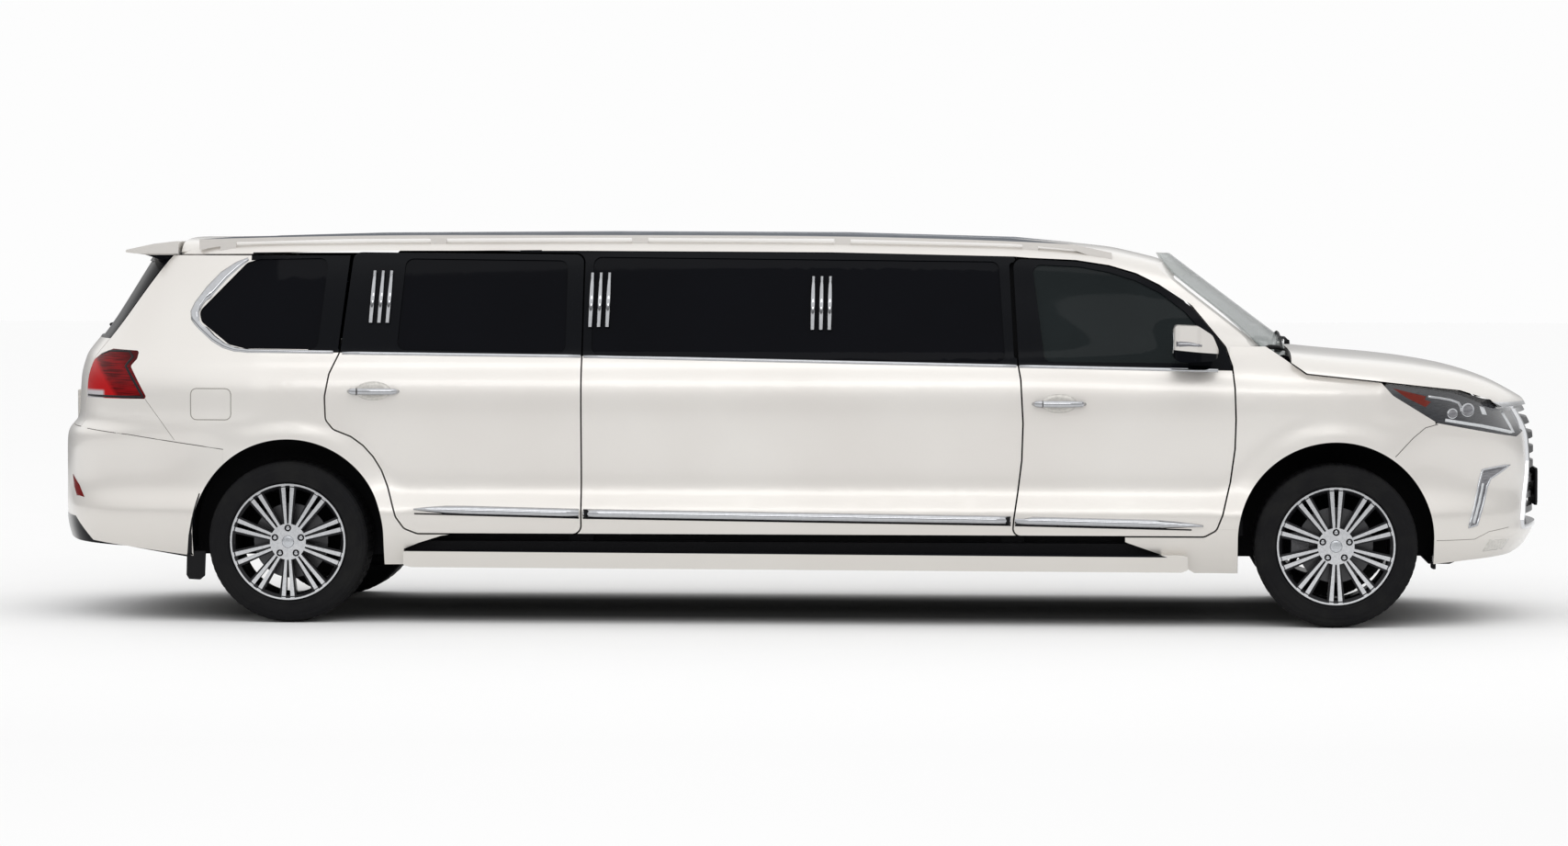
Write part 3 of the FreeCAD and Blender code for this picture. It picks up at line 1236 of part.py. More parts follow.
disc = rod(disc_radius, -0.12 * tyre_width, -0.12 * tyre_width + disc_thickness, 0, 0)
wheel_parts = [hub, core_hub, neck, disc]
for count in range(pairs):
    for item in spokes:
        copy = item.copy()
        copy.rotate(turning[0], turning[1], 360.0 * count / pairs)
        wheel_parts.append(copy)
rim = barrel.fuse(wheel_parts)
cap_recess = rod(0.48 * hub_radius, face_y, face_y + 0.25 * spoke_depth, 0, 0)
# nut pockets round the cap
nut_count = 5
nut_circle = 1.08 * hub_radius
for count in range(nut_count):
    turn = 2 * math.pi * count / nut_count
    rim = rim.cut(rod(0.27 * hub_radius, face_y - spoke_depth, face_y + 0.45 * spoke_depth,
                      nut_circle * math.sin(turn), nut_circle * math.cos(turn)))
rim = one(rim.cut(cap_recess))
wheel_y = size("track") / 2


def wheel_node(name, shape, x, side):
    made = doc.addObject("Part::Feature", name)
    made.Label = name
    made.Shape = shape
    turn = Rotation(Vector(0, 0, 1), 0 if side < 0 else 180)
    made.Placement = Placement(Vector(x, side * wheel_y, tyre_radius), turn)
    nodes.append(made)


for title, x in (("front", front_axle), ("rear", rear_axle)):
    for side_title, side in (("right", -1), ("left", 1)):
        wheel_node("rim_%s_%s" % (title, side_title), rim, x, side)
        wheel_node("tyre_%s_%s" % (title, side_title), tyre, x, side)

# Steering knuckles with calipers, turning about the kingpins.
kingpin_y = wheel_y - size("kingpin_offset")
pin_low = tyre_radius * 0.64 + 0.32 * size("rail_depth") + seat_gap
pin = Part.makeCylinder(0.55 * hub_radius, 0.42 * tyre_radius, Vector(0, 0, pin_low - tyre_radius))
back_gap = 0.12 * tyre_width - disc_thickness
stub_reach = size("kingpin_offset") + back_gap - seat_gap
stub = Part.makeCylinder(0.9 * hub_radius, stub_reach, Vector(0, 0, 0), Vector(0, -1, 0))
caliper_near = 0.70 * disc_radius
caliper_far = 1.16 * disc_radius
caliper = block(-caliper_far, -caliper_near, -stub_reach - disc_thickness - 3.2 * shut_gap,
                -stub_reach + 3 * shut_gap, -0.33 * disc_radius, 0.33 * disc_radius)
slot = rod(disc_radius + shut_gap, -stub_reach - disc_thickness - 1.9 * shut_gap,
           -stub_reach + 0.1 * shut_gap, 0, 0)
caliper = caliper.cut(slot)
bracket = block(-caliper_far, 0, -stub_reach + 0.6 * shut_gap, -stub_reach + 3 * shut_gap,
                -0.18 * disc_radius, 0.18 * disc_radius)
knuckle = one(pin.fuse([stub, bracket, caliper]))
for side_title, side in (("right", -1), ("left", 1)):
    made = doc.addObject("Part::Feature", "knuckle_" + side_title)
    made.Label = "knuckle_" + side_title
    made.Shape = knuckle if side < 0 else mirrored(knuckle)
    made.Placement = Placement(Vector(front_axle, side * kingpin_y, tyre_radius), Rotation())
    nodes.append(made)

doc.recompute()
for item in doc.Objects:
    state = [word for word in item.State if word in ("Invalid", "Error")]
    if state:
        raise RuntimeError("%s did not build" % item.Label)
for item in nodes:
    if item.Shape.isNull() or not item.Shape.isValid():
        raise RuntimeError("%s has a faulty form" % item.Label)
os.makedirs("parts", exist_ok=True)
for item in nodes:
    item.Shape.exportStep("parts/%s.step" % item.Label)
print(len(nodes), "pieces written")
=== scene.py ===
import math

import bmesh
import bpy
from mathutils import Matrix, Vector
from mathutils.bvhtree import BVHTree


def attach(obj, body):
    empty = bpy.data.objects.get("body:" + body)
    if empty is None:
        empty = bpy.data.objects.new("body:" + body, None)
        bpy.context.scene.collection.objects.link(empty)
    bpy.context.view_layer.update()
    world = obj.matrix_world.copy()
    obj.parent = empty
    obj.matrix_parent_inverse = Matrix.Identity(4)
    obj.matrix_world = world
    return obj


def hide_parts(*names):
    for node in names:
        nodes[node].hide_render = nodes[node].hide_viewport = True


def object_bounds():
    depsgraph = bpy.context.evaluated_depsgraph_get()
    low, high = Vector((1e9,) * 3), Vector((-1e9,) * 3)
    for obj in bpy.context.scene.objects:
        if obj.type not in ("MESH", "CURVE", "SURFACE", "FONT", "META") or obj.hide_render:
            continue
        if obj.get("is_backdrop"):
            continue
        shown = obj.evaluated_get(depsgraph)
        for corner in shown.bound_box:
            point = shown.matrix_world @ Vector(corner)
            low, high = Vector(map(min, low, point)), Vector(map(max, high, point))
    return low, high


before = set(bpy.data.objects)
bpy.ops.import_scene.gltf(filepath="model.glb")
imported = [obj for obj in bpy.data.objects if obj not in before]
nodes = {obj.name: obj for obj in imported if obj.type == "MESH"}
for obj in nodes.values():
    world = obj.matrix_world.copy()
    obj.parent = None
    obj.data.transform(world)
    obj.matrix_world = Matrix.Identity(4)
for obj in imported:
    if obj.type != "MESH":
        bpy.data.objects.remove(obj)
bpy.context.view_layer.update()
scene = bpy.context.scene

# Places on the car, in metres, with X forward, Y left and Z up.
FRONT_AXLE = 2.652
REAR_AXLE = -2.423
WHEEL_Y = 0.82
AXLE_Z = 0.394
TYRE_HALF = 0.1425
ARCH_RADIUS = 0.47
ARCH_LEVEL = 0.423
SIDES = (("right", -1), ("left", 1))
AXLES = (("front", FRONT_AXLE), ("rear", REAR_AXLE))
NUT_CIRCLE = 0.067

# Materials.


class Maker:
    """Builds one node material step by step."""

    def __init__(self, name, colour, roughness, metallic=0.0, coat=0.0, alpha=1.0, specular=0.5):
        self.made = bpy.data.materials.new(name)
        self.made.use_nodes = True
        self.tree = self.made.node_tree
        self.shader = self.tree.nodes["Principled BSDF"]
        self.place = None
        for socket, value in (("Base Color", (*colour, 1.0)), ("Roughness", roughness),
                              ("Metallic", metallic), ("Coat Weight", coat), ("Coat Roughness", 0.03),
                              ("Alpha", alpha), ("Specular IOR Level", specular)):
            self.shader.inputs[socket].default_value = value

    def node(self, kind, **values):
        made = self.tree.nodes.new(kind)
        for key, value in values.items():
            setattr(made, key, value)
        return made

    def link(self, start, stop):
        self.tree.links.new(start, stop)

    def position(self):
        if self.place is None:
            coord = self.node("ShaderNodeTexCoord")
            self.place = coord.outputs["Object"]
            split = self.node("ShaderNodeSeparateXYZ")
            self.link(self.place, split.inputs[0])
            self.axes = self.x, self.y, self.z = split.outputs[:3]
            turn = self.node("ShaderNodeSeparateXYZ")
            self.link(coord.outputs["Normal"], turn.inputs[0])
            self.facing = turn.outputs
        return self.place

    def noise(self, scale, detail=2.0, stretch=None):
        self.position()
        made = self.node("ShaderNodeTexNoise")
        made.inputs["Scale"].default_value = scale
        made.inputs["Detail"].default_value = detail
        source = self.place
        if stretch:
            mapping = self.node("ShaderNodeMapping")
            mapping.inputs["Scale"].default_value = stretch
            self.link(source, mapping.inputs["Vector"])
            source = mapping.outputs[0]
        self.link(source, made.inputs["Vector"])
        return made.outputs["Fac"]

    def math(self, operation, first, second=0.0, third=None):
        made = self.node("ShaderNodeMath", operation=operation)
        for slot, value in zip(made.inputs, (first, second, third)):
            if value is None:
                continue
            if isinstance(value, (int, float)):
                slot.default_value = value
            else:
                self.link(value, slot)
        return made.outputs[0]

    def less(self, first, second):
        return self.math("SUBTRACT", first, second)

    def times(self, first, second):
        return self.math("MULTIPLY", first, second)

    def length(self, first, second):
        squares = [self.times(part, part) for part in (first, second)]
        return self.math("SQRT", self.math("ADD", *squares))

    def ramp(self, value, low, high, out_low=0.0, out_high=1.0):
        made = self.node("ShaderNodeMapRange")
        levels = {"From Min": low, "From Max": high, "To Min": out_low, "To Max": out_high}
        for socket, level in levels.items():
            made.inputs[socket].default_value = level
        self.link(value, made.inputs["Value"])
        return made.outputs["Result"]

    def mix(self, share, first, second):
        made = self.node("ShaderNodeMix", data_type="RGBA")
        self.link(share, made.inputs[0])
        for slot, value in ((made.inputs[6], first), (made.inputs[7], second)):
            if isinstance(value, tuple):
                slot.default_value = (*value, 1.0)
            else:
                self.link(value, slot)
        return made.outputs[2]

    def colour(self, socket):
        self.link(socket, self.shader.inputs["Base Color"])

    def rough(self, value, low, high):
        self.link(self.ramp(value, 0.3, 0.7, low, high), self.shader.inputs["Roughness"])

    def drive(self, socket, share, low, high):
        """The socket goes from low to high as the share goes from 0 to 1."""
        self.link(self.ramp(share, 0.0, 1.0, low, high), self.shader.inputs[socket])

    def bump(self, height, strength, distance=0.001):
        made = self.node("ShaderNodeBump")
        made.inputs["Strength"].default_value = strength
        made.inputs["Distance"].default_value = distance
        self.link(height, made.inputs["Height"])
        self.link(made.outputs[0], self.shader.inputs["Normal"])


PEARL = (0.78, 0.755, 0.72)
PEARL_DEEP = (0.74, 0.71, 0.675)
PEARL_FLAKE = (0.9, 0.885, 0.85)
# Darker pearl for the painted shade lower down the body.
PEARL_LOW_SHADE = (0.6, 0.575, 0.53)
GLOSS_BLACK = (0.0035, 0.004, 0.0055)
PAINT_ROUGH = 0.32
SHEEN = 0.42
COAT = 0.6
ZONE_EDGE = 0.0015


def paint(name, *zones):
    """Pearl paint with gloss black zones; each zone is a list of levels that all have to be passed.

    A level (sense, axis, start, slope) is passed where the axis goes beyond start + slope * other, or
    where it falls short of that if sense is -1. The other axis is X for levels on Z, and else Z.
    """
    m = Maker(name, PEARL, PAINT_ROUGH, coat=COAT)
    flake = m.noise(900.0, 1.0)
    cloud = m.noise(1.3, 2.0)
    body = m.mix(m.ramp(cloud, 0.35, 0.65), PEARL, PEARL_DEEP)
    body = m.mix(m.ramp(flake, 0.55, 0.75, 0.0, 0.25), body, PEARL_FLAKE)
    # Painted shade: the pearl darkens towards the bottom of the body.
    low = m.ramp(m.z, 0.3, 0.75, 1.0, 0.0)
    body = m.mix(m.times(low, 0.45), body, PEARL_LOW_SHADE)
    black = None
    # Faces inside the wheel arches are painted black: painted shade on the arch returns, where the real car
    # also shows its dark liner.
    for axle in (FRONT_AXLE, REAR_AXLE):
        away = m.less(m.x, axle)
        rise = m.math("MAXIMUM", m.less(m.z, ARCH_LEVEL), 0.0)
        inside = m.ramp(m.length(away, rise), ARCH_RADIUS + 0.0015, ARCH_RADIUS + 0.0005)
        black = inside if black is None else m.math("MAXIMUM", black, inside)
    for zone in zones:
        share = None
        for sense, axis, start, slope in zone:
            other = m.x if axis == 2 else m.z
            line = m.math("MULTIPLY_ADD", other, -slope, -start)
            over = m.times(m.math("ADD", m.axes[axis], line), sense)
            step = m.ramp(over, 0.0, ZONE_EDGE)
            share = step if share is None else m.times(share, step)
        black = m.math("MAXIMUM", black, share)
    m.colour(m.mix(black, body, GLOSS_BLACK))
    m.drive("Roughness", black, PAINT_ROUGH, 0.14)
    m.drive("Specular IOR Level", black, 0.5, 0.06)
    m.drive("Coat Weight", black, COAT, 0.0)
    m.drive("Metallic", black, SHEEN, 0.0)
    return m.made


def plain(name, colour, roughness, metallic=0.0, coat=0.0, grain=0.0, scale=300.0, shade=0.85,
          stretch=None, specular=0.5):
    """One colour with specks of a darker tone, and a grain where it is asked for."""
    m = Maker(name, colour, roughness, metallic, coat, specular=specular)
    speck = m.noise(scale, 2.0, stretch)
    darker = tuple(c * shade for c in colour)
    m.colour(m.mix(m.ramp(speck, 0.35, 0.65), colour, darker))
    m.rough(speck, roughness * 0.85, min(1.0, roughness * 1.2))
    if grain:
        m.bump(speck, grain)
    return m.made


BELT_FRONT = (1, 2, 1.2788, -0.0204)
BELT_REAR = (1, 2, 1.2874, -0.0117)
pearl = paint("pearl_paint")
pearl_front = paint("pearl_front_door", [BELT_FRONT])
pearl_rear = paint("pearl_rear_door", [BELT_REAR])
pearl_quarter = paint("pearl_quarter", [BELT_REAR, (1, 0, -2.33, 0.0)],
                      [(1, 0, -2.63, 0.0), (1, 2, 1.76, 0.0)])
pearl_roof = paint("pearl_roof", [(-1, 2, 1.8235, 0.0088), (1, 0, -2.625, 0.0), (-1, 0, -1.2, 0.0)])
pearl_gate = paint("pearl_gate", [(1, 2, 1.374, 0.0), (-1, 2, 1.787, 0.0)])
pearl_tail = paint("pearl_tail", [(-1, 2, -3.169, -1.04), (-1, 2, 0.5, 0.0)],
                   [(-1, 2, -0.038, -0.1245)])
pearl_board = paint("pearl_board", [(1, 2, 0.345, -0.0038), (-1, 2, 0.987, -0.351)])
pearl_mirror = paint("pearl_mirror", [(-1, 2, 1.52, -0.095)])
# A darker pearl: painted shade for the handle dishes and the bumper scoop, and the rear plate holder's
# colour.
pearl_darker_and_painted_shade = plain("pearl_darker_and_painted_shade", (0.66, 0.64, 0.6), 0.35, metallic=0.3, coat=0.5, scale=80.0)
seam_dark = plain("seam_dark", (0.085, 0.08, 0.075), 0.7, scale=200.0, specular=0.1)
# Soft dark colour for shut lines, and painted shade along the bumper crease.
seam_soft_and_crease_shade = plain("seam_soft_and_crease_shade", (0.3, 0.285, 0.26), 0.6, scale=200.0, specular=0.2)
chrome = plain("chrome_trim", (0.5, 0.51, 0.53), 0.07, 1.0, scale=40.0, shade=0.93)
satin = plain("satin_rail", (0.62, 0.64, 0.67), 0.24, 1.0, scale=200.0, stretch=(0.05, 1, 1))
plastic = plain("black_plastic", (0.009, 0.009, 0.01), 0.5, grain=0.25, scale=1400.0, specular=0.12)
frame_paint = plain("frame_paint", (0.006, 0.006, 0.007), 0.6, grain=0.2, scale=240.0, specular=0.08)
lamp_black = plain("lamp_black", (0.012, 0.012, 0.014), 0.3, scale=90.0, specular=0.2)
amber = plain("marker_amber", (0.17, 0.026, 0.018), 0.2, scale=200.0, specular=0.15)
lamp_white = plain("lamp_white", (0.62, 0.64, 0.66), 0.15, coat=0.5, scale=150.0)
plate_white = plain("plate_blank", (0.45, 0.45, 0.45), 0.4, scale=300.0)
cast_metal = plain("cast_metal", (0.22, 0.22, 0.23), 0.6, 0.7, grain=0.5, scale=420.0)
leather = plain("leather", (0.42, 0.36, 0.28), 0.5, grain=0.4, scale=650.0)
leather_dark = plain("leather_dark", (0.16, 0.125, 0.09), 0.5, grain=0.4, scale=650.0)
dash_skin = plain("dash_skin", (0.05, 0.05, 0.055), 0.6, grain=0.35, scale=900.0)
rubber = plain("rubber", (0.016, 0.016, 0.017), 0.72, grain=0.3, scale=500.0)
reflector_red = plain("reflector_red", (0.16, 0.005, 0.005), 0.18, scale=700.0, specular=0.05)
mirror_glass = plain("mirror_glass", (0.75, 0.78, 0.8), 0.02, 1.0, scale=30.0, shade=0.97)


def glass(name, colour, alpha, shine):
    m = Maker(name, colour, 0.03, alpha=alpha, specular=shine)
    haze = m.noise(2.2, 2.0)
    m.colour(m.mix(m.ramp(haze, 0.3, 0.7), colour, tuple(c * 0.8 for c in colour)))
    m.rough(haze, 0.02, 0.05)
    return m.made


privacy = glass("privacy_glass", (0.0025, 0.0028, 0.0045), 1.0, 0.05)
door_glass = glass("door_glass", (0.011, 0.015, 0.016), 0.95, 0.08)
screen_glass = glass("screen_glass", (0.37, 0.42, 0.41), 0.46, 0.3)


def tyre_material():
    m = Maker("tyre_rubber", (0.008, 0.008, 0.009), 0.7, specular=0.12)
    grain = m.noise(500.0)
    dust = m.noise(9.0, 3.0)
    m.colour(m.mix(m.ramp(dust, 0.4, 0.7), (0.006, 0.006, 0.007), (0.012, 0.012, 0.012)))
    m.rough(dust, 0.6, 0.8)
    m.bump(grain, 0.25)
    return m.made


SPOKE_REACH = (0.08, 0.275)


def rim_material(name, axle):
    """Machined faces on the flange, the hub and each spoke; all that lies deeper is dark."""
    m = Maker(name, (0.78, 0.79, 0.81), 0.22, 1.0, coat=0.3)
    m.position()
    side = m.math("ABSOLUTE", m.facing[1])
    out = m.math("ABSOLUTE", m.y)
    across = m.less(m.x, axle)
    up = m.less(m.z, AXLE_Z)
    radius = m.length(across, up)
    angle = m.math("WRAP", m.math("ARCTAN2", across, up), math.pi / 10, -math.pi / 10)
    aside = m.math("ABSOLUTE", m.times(radius, m.math("SINE", angle)))
    middle = m.ramp(radius, *SPOKE_REACH, 0.0092, 0.0222)
    half = m.ramp(radius, *SPOKE_REACH, 0.006, 0.0104)
    spoke = m.ramp(m.less(half, m.math("ABSOLUTE", m.less(aside, middle))), -0.0004, 0.0004)
    fifth = m.math("WRAP", m.math("ARCTAN2", across, up), math.pi / 5, -math.pi / 5)
    along = m.less(m.times(radius, m.math("COSINE", fifth)), NUT_CIRCLE)
    beside = m.times(radius, m.math("SINE", fifth))
    pocket = m.length(along, beside)
    hub = m.times(m.ramp(radius, 0.0885, 0.0875), m.ramp(pocket, 0.0165, 0.0175))
    flange = m.ramp(radius, 0.274, 0.275)
    bright_zone = m.math("MAXIMUM", spoke, m.math("MAXIMUM", hub, flange))
    face = m.times(m.ramp(side, 0.8, 0.92), m.ramp(out, 0.9365, 0.9385))
    face = m.times(face, bright_zone)
    lines = m.noise(90.0, 2.0)
    bright = m.mix(m.ramp(lines, 0.3, 0.7), (0.74, 0.75, 0.77), (0.62, 0.63, 0.65))
    disc = m.times(m.ramp(side, 0.8, 0.92), m.ramp(out, 0.884, 0.88))
    disc = m.times(disc, m.ramp(radius, 0.19, 0.186))
    dark = m.mix(disc, (0.016, 0.016, 0.018), (0.1, 0.1, 0.105))
    m.colour(m.mix(face, dark, bright))
    m.drive("Roughness", face, 0.45, 0.22)
    return m.made


def rail_material():
    """A satin crest on a painted rail; the crest follows the roof's curve."""
    m = Maker("rail_satin", PEARL, 0.3, coat=0.2)
    m.position()
    grain = m.noise(200.0, 2.0, (0.05, 1, 1))
    fore = m.math("MAXIMUM", m.less(m.x, -1.0), 0.0)
    fall = m.times(m.math("POWER", fore, 3.0), 0.00325)
    aft = m.math("MAXIMUM", m.less(-1.6, m.x), 0.0)
    dip = m.times(m.math("POWER", aft, 2.0), 0.0128)
    level = m.less(m.less(1.8845, fall), dip)
    crest = m.ramp(m.less(m.z, level), -0.001, 0.001)
    satin = m.mix(m.ramp(grain, 0.35, 0.65), (0.27, 0.285, 0.31), (0.22, 0.235, 0.26))
    m.colour(m.mix(crest, PEARL_DEEP, satin))
    m.drive("Metallic", crest, SHEEN, 1.0)
    return m.made


def hood_material():
    """Paint with a bright header along the front edge."""
    m = Maker("hood_paint", PEARL, PAINT_ROUGH, coat=COAT)
    flake = m.noise(900.0, 1.0)
    body = m.mix(m.ramp(flake, 0.55, 0.75, 0.0, 0.25), PEARL, PEARL_FLAKE)
    line = m.math("MULTIPLY_ADD", m.x, -0.05, 1.2525)
    edge = m.ramp(m.less(line, m.z), 0.0, ZONE_EDGE)
    share = m.times(edge, m.ramp(m.x, 3.385, 3.39))
    m.colour(m.mix(share, body, (0.8, 0.81, 0.83)))
    m.drive("Metallic", share, SHEEN, 1.0)
    m.drive("Roughness", share, PAINT_ROUGH, 0.1)
    return m.made


def grille_material():
    """Bright frame; the slats inside it are dark."""
    m = Maker("grille_metal", (0.86, 0.87, 0.88), 0.08, 1.0)
    grain = m.noise(120.0, 2.0)
    wide = m.math("ABSOLUTE", m.y)
    upper = m.math("MULTIPLY_ADD", m.z, 0.2594, 0.155)
    lower = m.math("MULTIPLY_ADD", m.z, -0.4727, 0.7033)
    core = m.less(m.math("MAXIMUM", upper, lower), wide)
    inside = m.times(m.ramp(core, -0.001, 0.001),
                     m.times(m.ramp(m.z, 0.472, 0.474), m.ramp(m.z, 1.02, 1.018)))
    dark = m.mix(m.ramp(grain, 0.3, 0.7), (0.045, 0.046, 0.05), (0.025, 0.026, 0.028))
    m.colour(m.mix(inside, (0.74, 0.75, 0.77), dark))
    m.drive("Roughness", inside, 0.08, 0.3)
    return m.made


tyre_skin = tyre_material()
rim_skins = {title: rim_material("rim_alloy_" + title, x) for title, x in AXLES}
hood_paint = hood_material()
grille_metal = grille_material()


def lamp_material(name, colour, glow):
    """A ribbed lens: the ribs are brighter than its colour by glow."""
    m = Maker(name, colour, 0.06, coat=1.0)
    ribs = m.noise(140.0, 1.0, (0.2, 0.2, 4.0))
    m.colour(m.mix(m.ramp(ribs, 0.35, 0.65), colour, tuple(c * glow for c in colour)))
    return m.made


lamp_glass = lamp_material("lamp_glass", (0.02, 0.021, 0.024), 2.2)
lamp_grey = lamp_material("lamp_grey", (0.1, 0.1, 0.11), 1.8)


def tail_material():
    """Red lens with a clear band along its foot, painted lighter towards its rear foot as a highlight and
    darker towards its upper front edge as shade.
    """
    m = Maker("tail_lens", (0.35, 0.01, 0.01), 0.1, specular=0.12)
    m.position()
    ribs = m.noise(55.0, 1.0, (0.15, 0.15, 3.0))
    red = m.mix(m.ramp(ribs, 0.4, 0.6), (0.21, 0.005, 0.007), (0.075, 0.003, 0.004))
    # Painted highlight towards the lamp's rear foot, and painted shade towards its upper front.
    highlight_to_shade = m.math("MULTIPLY_ADD", m.z, 0.75, m.x)
    red = m.mix(m.ramp(highlight_to_shade, -2.475, -2.445), (0.42, 0.009, 0.011), red)
    red = m.mix(m.ramp(highlight_to_shade, -2.33, -2.25), red, (0.06, 0.002, 0.003))
    clear = m.times(m.ramp(m.z, 1.13, 1.118), m.ramp(m.x, -3.35, -3.365))
    m.colour(m.mix(clear, red, (0.5, 0.48, 0.5)))
    return m.made


tail_lens = tail_material()

# The record's slot that each material stands for, unless a piece names another.
SLOTS = {made.name: slot for slot, group in (
    ("pearl_paint", (pearl_darker_and_painted_shade, seam_dark, seam_soft_and_crease_shade)),
    ("chrome", (chrome, mirror_glass)),
    ("dash_plastic", (plastic, lamp_black, plate_white, dash_skin, rubber)),
    ("clear_lamp", (lamp_white, lamp_grey)),
    ("red_lamp", (amber, reflector_red)),
    ("leather", (leather, leather_dark))) for made in group}


def wear(name, material):
    item = nodes[name]
    item.data.materials.clear()
    item.data.materials.append(material)


for material, names in (
        (pearl, "roof_panel front_fenders front_bumper"),
        (pearl_roof, "roof_sides"),
        (pearl_mirror, "door_mirror_right door_mirror_left"),
        (pearl_front, "front_door_right front_door_left side_panels"),
        (pearl_rear, "rear_door_right rear_door_left"),
        (pearl_quarter, "quarter_panels"),
        (pearl_gate, "liftgate"),
        (pearl_tail, "rear_bumper"),
        (pearl_board, "running_boards"),
        (hood_paint, "hood"),
        (grille_metal, "grille"),
        (rail_material(), "roof_rails"),
        (door_glass, "front_door_glass_right front_door_glass_left"),
        (privacy, "rear_door_glass_right rear_door_glass_left fixed_side_glass liftgate_glass"),
        (screen_glass, "windscreen"),
        (lamp_glass, "headlamps"),
        (tail_lens, "tail_lamps"),
        (cast_metal, "knuckle_right knuckle_left engine_block"),
        (frame_paint, "pillars wheel_housings body_frame chassis_frame front_suspension rear_axle"),
        (leather, "front_seats cabin_seats"),
        (dash_skin, "dashboard")):
    for name in names.split():
        wear(name, material)
for axle, rim_skin in rim_skins.items():
    for side, sign in SIDES:
        wear("rim_%s_%s" % (axle, side), rim_skin)
        wear("tyre_%s_%s" % (axle, side), tyre_skin)

# Mesh helpers.


def mesh_piece(name, points, faces, material, body, slot=None, smooth=False, mirror=False):
    """One piece that rides on a body; mirror moves it from the right to the left."""
    mesh = bpy.data.meshes.new(name)
    if mirror:
        points = [(x, -y, z) for x, y, z in points]
    mesh.from_pydata([tuple(p) for p in points], [], faces)
    mesh.validate()
    work = bmesh.new()
    work.from_mesh(mesh)
    bmesh.ops.recalc_face_normals(work, faces=work.faces)
    work.to_mesh(mesh)
    work.free()
    mesh.materials.append(material)
    item = bpy.data.objects.new(name, mesh)
    scene.collection.objects.link(item)
    if smooth:
        for face in mesh.polygons:
            face.use_smooth = True
    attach(item, body)
    slot = slot or SLOTS[material.name]
    return item


def pair(name, points, faces, material, body, slot=None, smooth=True, both=True):
    """A right-hand piece and, where both is set, its mirror image on the left."""
    made = []
    for side, sign in SIDES if both else SIDES[:1]:
        carrier = body + "_" + side if body.endswith("door") else body
        label = "%s_%s" % (name, side) if both else name
        made.append(mesh_piece(label, points, faces, material, carrier, slot, smooth, sign > 0))
    return made


def tree_of(names):
    points = []
    faces = []
    for name in names.split():
        data = nodes[name].data
        start = len(points)
        points += [v.co.copy() for v in data.vertices]
        faces += [[start + i for i in f.vertices] for f in data.polygons]
    return BVHTree.FromPolygons(points, faces)


def net(rows, wide, joined=False, closed=True):
    """Faces between rows of points. Rows may be closed, and the last one joined to the first."""
    faces = []
    for i in range(rows if joined else rows - 1):
        j = (i + 1) % rows
        for c in range(wide if closed else wide - 1):
            d = (c + 1) % wide
            faces.append((i * wide + c, i * wide + d, j * wide + d, j * wide + c))
    return faces


def oval(x, z, wide, tall, power=1.0):
    """Places round a middle; a power below 1 squares the outline up."""

    def reach(half, wave):
        return half * math.copysign(abs(wave) ** power, wave)

    turns = [2 * math.pi * k / 24 for k in range(24)]
    return [(x + reach(wide, math.cos(t)), z + reach(tall, math.sin(t))) for t in turns]


trees = {}


def skin(names, a, b, way="side"):
    """The surface of these nodes met when looking one way at a place, with its outward direction."""
    if names not in trees:
        trees[names] = tree_of(names)
    start, aim = {
        "side": ((a, -3.0, b), (0, 1, 0)),
        "inner": ((a, -0.45, b), (0, -1, 0)),
        "back": ((-5.0, a, b), (1, 0, 0)),
        "top": ((a, b, 3.0), (0, 0, -1)),
    }[way]
    place, normal = trees[names].ray_cast(Vector(start), Vector(aim))[:2]
    if place is not None and normal.dot(Vector(aim)) > 0:
        normal = -normal
    return place, normal


def raised(names, spots, lift, way):
    """Places on a surface, moved outwards by lift; those that miss it are left out."""
    met = [skin(names, a, b, way) for a, b in spots]
    return [place + normal * lift for place, normal in met if place is not None]


def patch(name, outline, centre, height, names, material, body="body", both=True, edge=0.006, rise=0.0,
          step=0.03, way="side"):
    """A thin plate that follows the skin inside an outline, crowned by rise at its middle."""
    spots = []
    for a, b in zip(outline, outline[1:] + outline[:1]):
        count = max(1, int(math.dist(a, b) / step))
        spots += [(a[0] + (b[0] - a[0]) * i / count, a[1] + (b[1] - a[1]) * i / count)
                  for i in range(count)]

    def lifted(spot, scale, lift):
        for _ in range(12):
            a = centre[0] + (spot[0] - centre[0]) * scale
            b = centre[1] + (spot[1] - centre[1]) * scale
            place, normal = skin(names, a, b, way)
            if place is not None:
                return place + normal * lift
            scale *= 0.96
        raise RuntimeError(name + " misses its carrier")

    points = []
    rings = ((1.0, -0.002), (1.0, 0.4 * height), (None, height), (0.66, height + 0.55 * rise),
             (0.33, height + 0.9 * rise))
    for scale, lift in rings:
        for spot in spots:
            size = math.dist(spot, centre)
            points.append(lifted(spot, max(0.7, 1 - edge / size) if scale is None else scale, lift))
    points.append(lifted(centre, 1.0, height + rise))
    total = len(spots)
    faces = [tuple(range(total))] + net(len(rings), total)
    last = (len(rings) - 1) * total
    faces += [(last + i, last + (i + 1) % total, last + total) for i in range(total)]
    return pair(name, points, faces, material, body, both=both)


